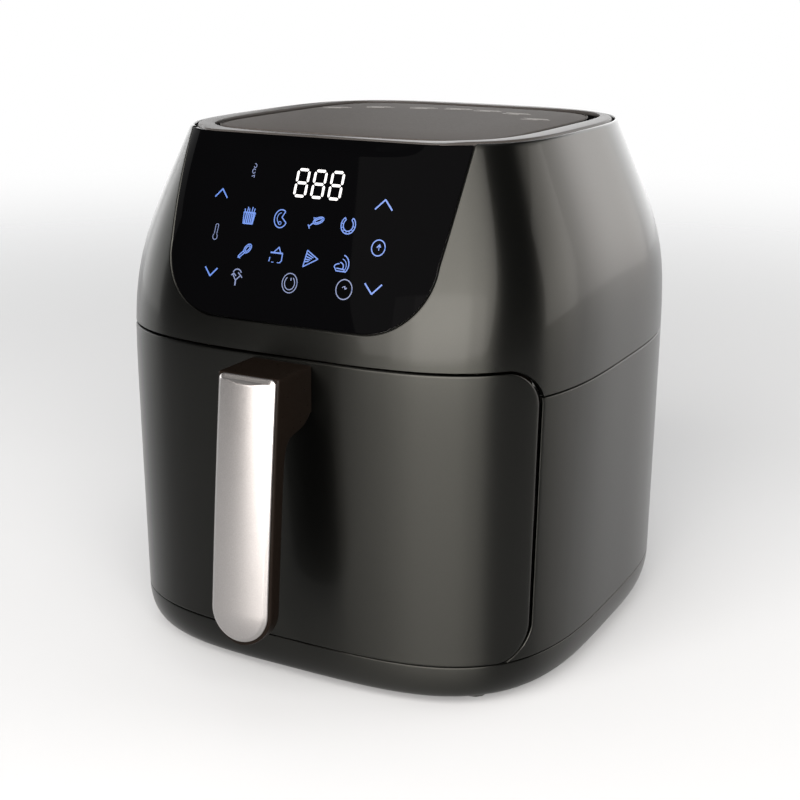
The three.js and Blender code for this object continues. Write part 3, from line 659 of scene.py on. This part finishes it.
SHRIMP = [arc(MIDDLE, 0, 0, 4.5, 4.7, 125, 415), arc(MIDDLE, 0, 0, 3.1, 3.3, 125, 415),
          line(MIDDLE, (-2.6, 3.9), (-1.8, 2.7)), line(MIDDLE, (2.6, 3.9), (1.8, 2.7))]
SHRIMP += [line(THIN, (3.1 * math.cos(a), 3.3 * math.sin(a)), (4.5 * math.cos(a), 4.7 * math.sin(a)))
           for a in np.radians([170, 200, 230, 260, 290, 320, 350])]
LEG = [arc(MIDDLE, 1.9, 2.0, 3.0, 1.8, 0, 360, 30, 48), arc(MIDDLE, 1.9, 2.0, 2.0, 0.9, 0, 360, 24, 48),
       line(MIDDLE, (0.3, -0.4), (-3.0, -3.3), (-3.8, -2.5), (-0.6, 0.6)),
       line(THIN, (-2.2, -3.6), (-4.2, -3.2))]
GRILL = [line(THICK, (-4.0, 1.4), (4.1, 1.4)), line(MIDDLE, (-1.8, 1.8), (1.2, 4.6), (2.6, 1.8)),
         line(MIDDLE, (4.0, 1.4), (4.0, -2.6), (2.8, -3.9)), line(MIDDLE, (-4.0, -1.2), (-4.3, -3.6)),
         line(THIN, (-2.6, -3.8), (-1.2, -3.8)), line(THIN, (1.2, -3.8), (2.6, -3.8))]
PIZZA = [line(MIDDLE, (-2.6, 4.6), (-4.0, -4.4), (4.9, 0.4), (-2.6, 4.6))]
PIZZA += [line(MIDDLE, (-3.0 - 0.25 * k, 3.0 - 1.6 * k), (1.9 - 0.9 * k, 0.9 - 0.7 * k)) for k in range(4)]
FISH = [arc(MIDDLE, -0.8, -1.0, 5.0, 5.2, -50, 75, 24), arc(THIN, -0.8, -1.6, 3.5, 3.6, -60, 78, 22),
        arc(MIDDLE, -1.2, -2.2, 2.2, 2.2, -40, 95, 18),
        line(MIDDLE, (-4.6, -2.6), (-3.2, -4.6), (3.0, -4.7)),
        arc(MIDDLE, -1.7, -2.5, 3.0, 1.8, 90, 190, 16), line(MIDDLE, (-3.2, -3.2), (1.6, -3.5))]
CHEVRON_UP = [line(THICK, (-4.5, -2.1), (0.2, 2.6), (4.5, -2.1))]
CHEVRON_DOWN = [line(THICK, (-4.5, 2.1), (-0.2, -2.6), (4.5, 2.1))]
FAN = [arc(MIDDLE, 0.2, 1.6, 2.9, 2.6, 20, 165, 20), line(MIDDLE, (-3.6, 0.6), (-2.2, 1.8), (-0.4, 0.4)),
       line(MIDDLE, (0.8, 2.4), (2.4, 1.2), (3.9, -0.2)),
       line(MIDDLE, (-2.6, 1.0), (-0.4, -2.0), (2.6, 0.8)), line(THICK, (-0.3, -2.0), (-0.3, -4.9))]
POWER = [arc(0.5, 0, 0, 4.9, 5.3, 0, 360, 40), arc(0.5, 0, 0, 3.3, 3.6, 125, 415, 32),
         line(MIDDLE, (0.6, 1.4), (0.6, 2.9))]
START = [arc(0.55, 0, 0, 5.0, 5.3, 0, 360, 40), line(THIN, (-1.3, 0.9), (-0.2, 1.6)),
         line(MIDDLE, (0.2, 1.9), (0.6, 0.3), (1.7, 0.9))]
TIMER = [arc(MIDDLE, 0, 0, 4.0, 4.2, 0, 360, 36), line(MIDDLE, (-0.9, 0.1), (0.5, 1.7), (1.3, 0.3)),
         line(THIN, (0.4, -1.4), (0.4, 1.4))]
blue = [*moved(CHIPS, -33.0, 281), *moved(STEAK, -11.4, 281), *moved(DRUMSTICK, 11.7, 281),
        *moved(SHRIMP, 32.8, 281), *moved(LEG, -32.2, 261), *moved(GRILL, -10.4, 261),
        *moved(PIZZA, 12.2, 261), *moved(FISH, 33.0, 261), *moved(CHEVRON_UP, -55.2, 291.5),
        *moved(CHEVRON_UP, 52.7, 292.9, 1.15), *moved(CHEVRON_DOWN, -53.7, 248.2),
        *moved(CHEVRON_DOWN, 53.9, 249.1, 1.15), *moved(TIMER, 53.4, 270.5)]
strip_piece("touch_symbols", blue, on_front, lit("lit_blue", (0.105, 0.27, 0.86), 1.0), "control_glass")

THERMOMETER = [line(THIN, (0.7, 4.4), (1.3, 3.6), (0.9, -1.2)),
               line(THIN, (0.2, 4.4), (-0.7, 3.8), (-0.9, -1.2)),
               arc(THIN, -0.1, -2.8, 1.6, 1.7, 130, 410, 20)]
STEAM = [arc(THIN, 0.4, 2.6, 0.9, 1.1, 200, 480, 16), arc(THIN, 0.0, -0.4, 1.0, 1.2, 30, 340, 18),
         line(THIN, (-1.0, -3.4), (0.8, -2.6), (0.8, -4.0))]
pale = [*moved(THERMOMETER, -54.7, 270.3), *moved(STEAM, -35.0, 305.9), *moved(POWER, 1.2, 247),
        *moved(START, 36.5, 247), *moved(FAN, -35.0, 247)]
strip_piece("touch_outlines", pale, on_front, lit("lit_grey_blue", (0.20, 0.26, 0.50), 1.0), "control_glass")

# ------------------------------------------------------------------ top ring and top plate
# The ring is a moulding in the body's colour with a well rounded front edge. The plate inside it stands in a
# groove of dark plastic painted near black as shade, is finely grained, and carries a few small printed
# marks.
RING_TOP = rim_z - 0.1
RING_FRONT_TOP = rim_z - 0.5
RING_ROUND = 0.8
RING_UNDER = rim_z - 2.2
LIP_ROOM = 4.2
LIP_FROM, LIP_BLEND = math.radians(43), math.radians(9)


def front_share(turn):
    """One over the glass, falling smoothly to zero where the housing's lip begins."""
    off = np.abs((turn + 1.5 * math.pi) % (2 * math.pi) - math.pi)
    t = np.clip((LIP_FROM - off) / LIP_BLEND, 0, 1)
    return t * t * (3 - 2 * t)


def top_level(z, half_x, half_front, half_back, n_front, n_back, shrink=0.0, share=1.0):
    """Ring of a superellipse at the top, with its own half depth and exponent in front and behind."""
    c, s = np.cos(all_round), np.sin(all_round)
    n = np.where(s < 0, n_front, n_back)
    depth = np.where(s < 0, half_front, half_back) - shrink
    reach = (np.abs(c) ** n + np.abs(s) ** n) ** (-1 / n) * share
    return np.stack([(half_x - shrink) * reach * c, depth * reach * s + axis_y, z + 0 * c], -1)


def ring_inner(z, shrink=0.0):
    """Inner edge of the ring: narrow in front, wide at the sides and the back."""
    return top_level(z, 102.6, 111.5, 108.5, 4.2, 4.8, shrink)


def ring_outer(z, inset):
    """Outer edge of the ring: behind the lip, and over the pane's tucked edge in front."""
    out = front_share(all_round)
    tuck = GLASS_TUCK * mid_share(on_body(all_round, RING_TOP)[:, 0])
    return on_body(all_round, z, inset + LIP_ROOM * (1 - out) + (tuck + 0.3) * out)


def ring_profile():
    """Outer wall, rounded outer edge, flat top, small inner rounding, and the underside."""
    out = front_share(all_round)
    top = RING_TOP + (RING_FRONT_TOP - RING_TOP) * out
    low = np.where(out > 0, GLASS_TOP + 0.2 - (1 - out) * 5.0, rim_z - 8)
    rings = [ring_outer(low, 0.0)]
    for bend in np.linspace(0, math.pi / 2, 8):
        rings.append(ring_outer(top - RING_ROUND * (1 - math.sin(bend)), RING_ROUND * (1 - math.cos(bend))))
    rings += [ring_inner(top - d, -m) for m, d in rounding(0.5)]
    rings.append(ring_inner(RING_UNDER))
    rings.append(0.5 * ring_inner(RING_UNDER) + 0.5 * ring_outer(np.minimum(low, RING_UNDER), 2.0))
    return rings


def finish(name, dark, light, rough, spread, scale, relief=0.00003, strength=0.5, detail=2.0, **constants):
    """A finish of two shades mixed by noise; its roughness and a slight relief follow the noise."""
    made = Material(name, **constants)
    grain = made.noise(scale, detail)
    made.feed("Base Color", made.blend(grain, dark, light))
    made.feed("Roughness", rough + grain * spread if spread else rough)
    if relief:
        made.bump(grain, relief, strength)
    return made.material


ring_satin = finish("ring_satin", (0.017, 0.0155, 0.0145), (0.032, 0.029, 0.027), 0.30, 0.12, 1400.0,
                    0.00002, 0.3, Specular_IOR_Level=0.10)
ring_piece("top_ring_moulding", ring_profile(), ring_satin, "housing", "graphite_shell", ["top_ring"],
           closed=True)


def grained_plastic():
    """Dark warm grey plastic with a fine even grain that scatters the light."""
    plastic = Material("grained_plastic", Specular_IOR_Level=0.06)
    grain = plastic.noise(850.0, 2.0)
    coarse = plastic.noise(160.0, 3.0)
    mix = grain * 0.75 + coarse * 0.25
    plastic.feed("Base Color", plastic.blend(mix, (0.020, 0.0178, 0.0165), (0.052, 0.0465, 0.043)))
    plastic.feed("Roughness", 0.5 + grain * 0.2)
    plastic.bump(grain, 0.00006, 0.6)
    return plastic.material


PLATE_TOP = rim_z - 0.5
PLATE_THICK = 1.0


def plate_level(z, shrink=0.0, share=1.0):
    """One ring of the plate, drawn in by a shrink or towards the axis by a share."""
    return top_level(z, 97.0, 105.0, 102.6, 5.2, 4.4, shrink, share)


def plate_rings():
    """Underside, side, small rounded edge and the flat face, drawn in to the middle."""
    rings = [plate_level(PLATE_TOP - PLATE_THICK, 0, s) for s in (0, 0.5, 1)]
    rings += [plate_level(PLATE_TOP - d, m) for m, d in rounding(0.7)]
    rings += [plate_level(PLATE_TOP, 0.7, s) for s in (0.95, 0.6, 0.3, 0)]
    return rings


ring_piece("top_plate_moulding", plate_rings(), grained_plastic(), "housing", "dark_plastic", ["top_plate"])


CHANNEL_TOP = RING_TOP - 2.4
CHANNEL_FLOOR, CHANNEL_UNDER = rim_z - 8.6, rim_z - 9.6


def groove_rings():
    """Channel between ring and plate: outer wall, floor and inner wall, as a closed trough. It is coloured
    near black: dark plastic, painted darker as the shade in the recess.
    """
    under = PLATE_TOP - PLATE_THICK - 0.05
    outer = [ring_inner(CHANNEL_TOP, -1.2), ring_inner(CHANNEL_TOP, 0.05), ring_inner(CHANNEL_FLOOR, 0.05)]
    inner = [plate_level(CHANNEL_FLOOR, 0.6), plate_level(under, 0.6), plate_level(under, 2.4)]
    return outer + inner + [plate_level(CHANNEL_UNDER, 2.4), ring_inner(CHANNEL_UNDER, -1.2)]


# Near black, dull and barely reflecting: the channel's dark plastic, painted darker still as the shade in
# the recess.
groove_dark_with_painted_shade = finish("groove_dark_with_painted_shade", (0.0008, 0.0008, 0.0008), (0.002, 0.002, 0.002), 0.9, 0, 500.0, 0,
                      Specular_IOR_Level=0.02)
ring_piece("top_groove", groove_rings(), groove_dark_with_painted_shade, "housing", "dark_plastic", closed=True)


def on_plate(x, y, deep):
    """Point on the plate's top face."""
    return np.stack([x, y, np.full(np.shape(x), PLATE_TOP) - deep], -1)


# Seven groups of three dashes along the rear edge: x, y and lean in degrees of each group.
MARK_PLACES = [(-80, 64, 25), (-56, 82, 21), (-27, 91, 19), (-3, 97, 6), (20, 95, 0), (45, 87, -4),
               (70, 59, -3)]
DASHES = [(-10, 7), (-6, 10), (-9, 3)]
DASH_PITCH, DASH_WIDTH = 3.5, 1.1
marks = []
for mark_x, mark_y, lean in MARK_PLACES:
    tilt = math.radians(lean)
    for row, (left, right) in enumerate(DASHES):
        rise = DASH_PITCH * (1 - row)
        corners = np.array([(left, rise), (right, rise)])
        turned = corners @ np.array([[math.cos(tilt), math.sin(tilt)], [-math.sin(tilt), math.cos(tilt)]])
        marks.append(line(DASH_WIDTH, *(turned + (mark_x, mark_y))))
printed_grey = finish("printed_grey", (0.09, 0.086, 0.082), (0.30, 0.29, 0.28), 0.6, 0, 700.0, 0)
strip_piece("plate_marks", marks, on_plate, printed_grey, "dark_plastic")

# ------------------------------------------------------------------ handle
# A black moulded grip screwed to the drawer front, with a satin silver cover clipped over its outer face.
grip_low, grip_high = span("handle_body")
GRIP_HALF, GRIP_TOP, GRIP_LOW = grip_high[0], grip_high[2], grip_low[2]
GRIP_REACH = 193.2
# Rear of the grip, as heights and depths from the body's axis: nearly even thickness, then a hollow up to
# the drawer front.
BACK_HEIGHTS = [48, 60, 75, 95, 110, 125, 140, 150, 156, 161, 164.5, 166.8, 168, 168.6, 169.6, 171.2,
                173.4, 176]
BACK_DEPTHS = [198.6, 197.6, 196.3, 194.5, 193.2, 191.8, 190.4, 189.3, 188.3, 186.9, 185.0, 182.4, 178.6,
               175.0, 170.4, 166.4, 163.2, 160.6]


def grip_line(z):
    """Where the cover meets the grip, as y at a height: a parabola through top, middle and tip."""
    fall = (GRIP_TOP - z) / (GRIP_TOP - GRIP_LOW)
    return axis_y - GRIP_REACH - 17.8 * fall + 2.8 * fall * fall


def grip_back(z):
    """Rear of the grip as y at a height: its hollow line, and inside the drawer's skin above that."""
    outer = axis_y - np.interp(z, BACK_HEIGHTS, BACK_DEPTHS)
    drawer = on_front(np.zeros(np.shape(z)), z)[..., 1] + 0.8
    return np.where(z > BACK_HEIGHTS[-1], drawer, np.minimum(outer, drawer))


def grip_section(z, shrink=0.0, corner=1.3, count=10):
    """Rounded rectangle at a height, from the grip line back; its half width follows the half-round tip."""
    low = GRIP_LOW + GRIP_HALF
    half = math.sqrt(max(GRIP_HALF ** 2 - max(low - z, 0) ** 2, 0)) - shrink
    front, rear = float(grip_line(z)) + shrink, float(grip_back(z)) - shrink * 0.2
    r = min(corner, max(half, 0.01) * 0.9)
    bend = np.linspace(0, math.pi / 2, count)
    centres = [(half - r, rear - r), (r - half, rear - r), (r - half, front + r), (half - r, front + r)]
    xs, ys = [], []
    for k, (cx, cy) in enumerate(centres):
        xs.append(cx + r * np.cos(bend + k * math.pi / 2))
        ys.append(cy + r * np.sin(bend + k * math.pi / 2))
    return np.stack([np.concatenate(xs), np.concatenate(ys), np.full(4 * count, z)], -1)


TOP_ROUND = 0.9


def grip_rings():
    """Sections up the grip, closer together round the tip and the hollow, with a rounded top edge."""
    tip = GRIP_LOW + GRIP_HALF * (1 - np.cos(np.linspace(0.02, math.pi / 2, 26)))
    block = np.linspace(181, GRIP_TOP - TOP_ROUND, 8)
    heights = np.concatenate([tip, np.linspace(72, 148, 24), np.linspace(150, 178, 60), block])
    rings = [grip_section(z) for z in heights]
    rings.insert(0, rings[0] * (0, 1, 1))
    for bend in np.linspace(0.2, math.pi / 2, 6):
        inset, drop = TOP_ROUND * (1 - math.cos(bend)), TOP_ROUND * (1 - math.sin(bend))
        rings.append(grip_section(GRIP_TOP - drop, inset))
    return rings + [rings[-1] * (share, 1, 1) for share in (0.5, 0.0)]


black_plastic = finish("smooth_black_plastic", (0.0030, 0.0020, 0.0014), (0.0050, 0.0034, 0.0025), 0.24,
                       0.12, 400.0, 0, Specular_IOR_Level=0.035)
ring_piece("handle_grip", grip_rings(), black_plastic, "drawer", "black_plastic", ["handle_body"], sharp=42)

COVER_HALF, COVER_LOW, COVER_TOP = 18.5, GRIP_LOW + 2.3, GRIP_TOP - 0.4
FACE_MARGIN = 2.2
# Bevelled edge of the cover, from the face out: distance in from the edge, and thickness there.
COVER_EDGE = [(2.2, 2.75), (2.05, 2.62), (1.4, 2.1), (0.75, 1.6), (0.45, 1.38), (0.2, 1.2), (0.05, 0.95),
              (0, 0.7), (0, 0.1)]


def cover_outline(m, sides=90, tip=60, top=24, corner=8):
    """Edge of the cover in x and z: half-round tip, straight sides, small top corners, drawn in by m."""
    half, low, high = COVER_HALF - m, COVER_LOW + COVER_HALF, COVER_TOP - m
    r = max(3.4 - m, 0.3)
    around = np.linspace(-math.pi, 0, tip, endpoint=False)
    x, z = [half * np.cos(around)], [low + half * np.sin(around)]
    z_side = np.linspace(low, high - r, sides, endpoint=False)
    bend = np.linspace(0, math.pi / 2, corner, endpoint=False)
    x += [np.full(sides, half), half - r + r * np.cos(bend)]
    z += [z_side, high - r + r * np.sin(bend)]
    x_top = np.linspace(half - r, -half + r, top, endpoint=False)
    x += [x_top, -half + r - r * np.sin(bend), np.full(sides, -half)]
    z += [np.full(top, high), high - r + r * np.cos(bend), z_side[::-1] + (high - r - low) / sides]
    return np.array([np.concatenate(x), np.concatenate(z)])


def cover_height(x, z):
    """Thickness of the cover: a crown over its width, cut back by a sloping facet along the top.

    Crown = 2.7 + 2.3 (1 - r^2), with r the distance from the middle line over the face's half width.
    """
    low = COVER_LOW + COVER_HALF
    r = np.where(z < low, np.hypot(x, z - low), np.abs(x)) / (COVER_HALF - FACE_MARGIN)
    crown = 2.7 + 2.3 * (1 - np.clip(r, 0, 1.15) ** 2)
    facet = 1.2 + 1.0 * (COVER_TOP - z)
    blend = 0.18
    return -blend * np.logaddexp(-crown / blend, -facet / blend)


def on_cover(x, z, most=99.0):
    """Point of the cover's face, or of its bevelled edge where that is lower."""
    return np.stack([x, grip_line(z) - np.minimum(cover_height(x, z), most), z], -1)


def cover_rings():
    """Face from its middle line out, bevelled edge, side wall and flat back."""
    spine_x, spine_z = cover_outline(1.6)
    low = COVER_LOW + COVER_HALF
    spine = np.array([spine_x * 0, np.clip(spine_z, low, COVER_TOP - 9)])
    rings = []
    for share in np.linspace(1, 0, 44)[:-1] ** 1.1:
        rings.append(on_cover(*((1 - share) * cover_outline(FACE_MARGIN + 0.1) + share * spine)))
    for m, most in COVER_EDGE:
        rings.append(on_cover(*cover_outline(m), most))
    for share in (0.3, 1.0):
        x, z = (1 - share) * cover_outline(0.0) + share * spine
        rings.append(np.stack([x, grip_line(z) - 0.1, z], -1))
    return rings


satin_silver = finish("satin_silver", (0.27, 0.258, 0.252), (0.35, 0.335, 0.328), 0.28, 0.1, 1500.0,
                      0.00002, 0.3, 1.0, Metallic=1.0)
ring_piece("handle_cover_shell", cover_rings(), satin_silver, "drawer", "satin_silver", ["handle_cover"],
           sharp=60)

# ------------------------------------------------------------------ drawer inside
# Behind the front sits a black moulded panel, and on it hangs a pressed steel pan with a non-stick coating.
# A loose crisper plate stands in the pan on four silicone bumpers.
def eased(node, material, body, width=0.5):
    """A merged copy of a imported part, with the small rounded edges that a mould or a press leaves."""
    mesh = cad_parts[node].data.copy()
    work = bmesh.new()
    work.from_mesh(mesh)
    bmesh.ops.remove_doubles(work, verts=work.verts, dist=1e-6)
    bmesh.ops.dissolve_limit(work, angle_limit=math.radians(0.5), verts=work.verts, edges=work.edges)
    work.to_mesh(mesh)
    work.free()
    mesh.materials.clear()
    mesh.materials.append(material)
    mesh.polygons.foreach_set("use_smooth", np.ones(len(mesh.polygons), bool))
    mesh.set_sharp_from_angle(angle=math.radians(32))
    piece = bpy.data.objects.new(node + "_eased", mesh)
    bpy.context.collection.objects.link(piece)
    bevel = piece.modifiers.new("eased_edges", "BEVEL")
    bevel.width = width * MM
    bevel.segments = 2
    bevel.limit_method = "ANGLE"
    bevel.angle_limit = math.radians(50)
    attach(piece, body)
    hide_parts(node)


def dress(material, *nodes):
    """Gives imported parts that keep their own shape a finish."""
    for node in nodes:
        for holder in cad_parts[node].material_slots:
            holder.material = material


steel = finish("sheet_steel", (0.42, 0.42, 0.41), (0.56, 0.56, 0.55), 0.28, 0.16, 260.0, Metallic=1.0)
non_stick = finish("non_stick_coating", (0.010, 0.010, 0.011), (0.022, 0.022, 0.023), 0.30, 0.18, 1400.0)
silicone = finish("silicone_rubber", (0.012, 0.012, 0.012), (0.022, 0.022, 0.021), 0.5, 0.2, 800.0)
eased("drawer_inner_panel", black_plastic, "drawer", 0.8)
eased("pan", non_stick, "drawer", 0.4)
eased("crisper_plate", non_stick, "crisper", 0.35)
for number in range(1, 5):
    eased(f"crisper_bumper_{number}", silicone, "crisper", 0.4)
dress(steel, "handle_screw_1", "handle_screw_2")

# ------------------------------------------------------------------ feet
# Four round feet of moulded rubber, each held up into the base by a screw.
rubber = finish("moulded_rubber", (0.008, 0.008, 0.008), (0.016, 0.016, 0.015), 0.65, 0.2, 800.0)
for number in range(1, 5):
    eased(f"foot_{number}", rubber, "housing", 0.6)
    dress(steel, f"base_screw_{number}")

# ------------------------------------------------------------------ air outlet and cord gland
# Hot air leaves by a slotted black moulding clipped into the back, over a duct from the chamber. The cord
# comes out lower down, through a rubber gland.
dark_plastic = finish("dark_plastic_grain", (0.010, 0.010, 0.0095), (0.018, 0.0175, 0.017), 0.45, 0.2, 900.0)
eased("rear_outlet", black_plastic, "housing", 0.5)
eased("exhaust_duct", dark_plastic, "housing", 0.4)
eased("cord_gland", rubber, "housing", 0.5)

# ------------------------------------------------------------------ cooking chamber and heater
# A box of pressed steel that the drawer slides into on two plastic rails. Above it are a dished reflector,
# the tube heater over its wire guard, and a shield that keeps the heat off the motor.
eased("guide_rail_left", dark_plastic, "housing", 0.4)
eased("guide_rail_right", dark_plastic, "housing", 0.4)
heater_tube = finish("heater_tube_oxide", (0.14, 0.12, 0.11), (0.24, 0.21, 0.19), 0.35, 0.2, 500.0,
                     Metallic=1.0)
dress(steel, "chamber", "reflector", "heater_guard", "heat_shield")
dress(heater_tube, "heater_element")

# ------------------------------------------------------------------ motor and fans
# A shaded-pole motor on a steel bracket, with sintered bronze bearings. Its shaft carries the hot-air fan
# below the shield and the cooling fan above it.
copper = finish("enamelled_copper", (0.42, 0.16, 0.07), (0.62, 0.28, 0.13), 0.28, 0.2, 700.0, Metallic=1.0)
bronze = finish("sintered_bronze", (0.36, 0.24, 0.09), (0.50, 0.34, 0.14), 0.4, 0.2, 1200.0, Metallic=1.0)
dress(steel, "motor_bracket", "motor_cap", "motor_shaft", "motor_rotor", "hot_air_fan", "fan_nut")
dress(copper, "motor_stator")
dress(bronze, "lower_bearing", "upper_bearing")
dress(dark_plastic, "cooling_fan")

# ------------------------------------------------------------------ controls and top frame
# Two circuit boards, the display behind the glass on its plastic bracket, a thermal cut-out and a sensor on
# the chamber, and the drawer switch with its sprung plunger. A plastic frame carries the top ring and plate.
board = finish("circuit_board_mask", (0.012, 0.075, 0.028), (0.020, 0.11, 0.045), 0.35, 0.2, 300.0)
eased("top_frame", dark_plastic, "housing", 0.4)
dress(board, "control_board", "power_board")
dress(steel, "thermal_cutout", "temperature_sensor")
dress(dark_plastic, "control_bracket", "display_module", "drawer_switch", "switch_plunger")

# ------------------------------------------------------------------ floor and light
# A plain pale floor, soft boxes to both sides and above, and a dim even surround.
FADE_FROM, FADE_TO = 0.7, 2.4


def flat_floor():
    """A wide flat disc under the feet, that fades out far from the object."""
    turn = np.linspace(0, 2 * math.pi, 96, endpoint=False)
    rings = [np.stack([r * np.cos(turn), r * np.sin(turn), 0 * turn], -1) for r in (0.0, 1.0, 2.6)]
    mesh = bpy.data.meshes.new("floor")
    mesh.from_pydata(np.concatenate(rings).tolist(), [], ring_faces(3, 96).tolist())
    pale = Material("pale_floor", Base_Color=(0.40, 0.41, 0.42, 1), Roughness=0.9, Specular_IOR_Level=0.1)
    where = pale.node("ShaderNodeTexCoord", output="Object")
    far = pale.node("ShaderNodeVectorMath", {"operation": "LENGTH"}, where, output="Value")
    smooth = {"interpolation_type": "SMOOTHSTEP"}
    pale.feed("Alpha", pale.node("ShaderNodeMapRange", smooth, far, FADE_FROM, FADE_TO, 1.0, 0.0))
    mesh.materials.append(pale.material)
    floor = bpy.data.objects.new("floor", mesh)
    bpy.context.collection.objects.link(floor)


flat_floor()


WARM = (1.0, 0.955, 0.92)
LIT_HEIGHT = 160


def softbox(name, azimuth, height, distance, size, radiance, tint=(1, 1, 1)):
    """A rectangular area light at an azimuth from the front, facing the body's axis.

    The power of a panel of even radiance is radiance times area times pi.
    """
    turn = math.radians(azimuth)
    heart = Vector((0, axis_y, LIT_HEIGHT)) * MM
    place = Vector((math.sin(turn) * distance, axis_y - math.cos(turn) * distance, height)) * MM
    light = bpy.data.lights.new(name, "AREA")
    light.shape = "RECTANGLE"
    light.size, light.size_y = size[0] * MM, size[1] * MM
    light.energy = radiance * math.pi * light.size * light.size_y
    light.color = tint
    lamp = bpy.data.objects.new(name, light)
    lamp.location = place
    lamp.rotation_mode = "QUATERNION"
    lamp.rotation_quaternion = (heart - place).to_track_quat("-Z", "Y")
    lamp.visible_camera = False
    bpy.context.collection.objects.link(lamp)


softbox("front", 17, 1350, 2600, (4700, 3000), 9, WARM)
softbox("front_middle", 20, 560, 2550, (2900, 1300), 6, WARM)
softbox("front_core", 18, 560, 2500, (1700, 1200), 6, WARM)
softbox("right", 121, 700, 2600, (1400, 1400), 6.5, WARM)
softbox("right_back", 149, 700, 2600, (1250, 1400), 3.4, WARM)
softbox("behind", 187, 700, 2600, (2300, 1400), 2.6)
softbox("left_back", -128, 600, 2600, (1600, 1200), 2.2)
softbox("left", -90, 500, 2600, (1850, 1000), 3.8)
softbox("overhead", 0, 2200, 10, (1800, 1800), 1.2)

SEEN_BRIGHTNESS, LIT_BRIGHTNESS = 1.0, 0.15
world = bpy.data.worlds.new("surround")
bpy.context.scene.world = world
world.use_nodes = True
surround = Nodes(world.node_tree)
backdrop = world.node_tree.nodes["Background"]
surround.join(backdrop.inputs["Color"], (1, 1, 1, 1))
seen = surround.node("ShaderNodeLightPath", output="Is Camera Ray")
surround.join(backdrop.inputs["Strength"],
              surround.node("ShaderNodeMapRange", None, seen, To_Min=LIT_BRIGHTNESS, To_Max=SEEN_BRIGHTNESS))
bpy.context.scene.view_settings.view_transform = "Standard"
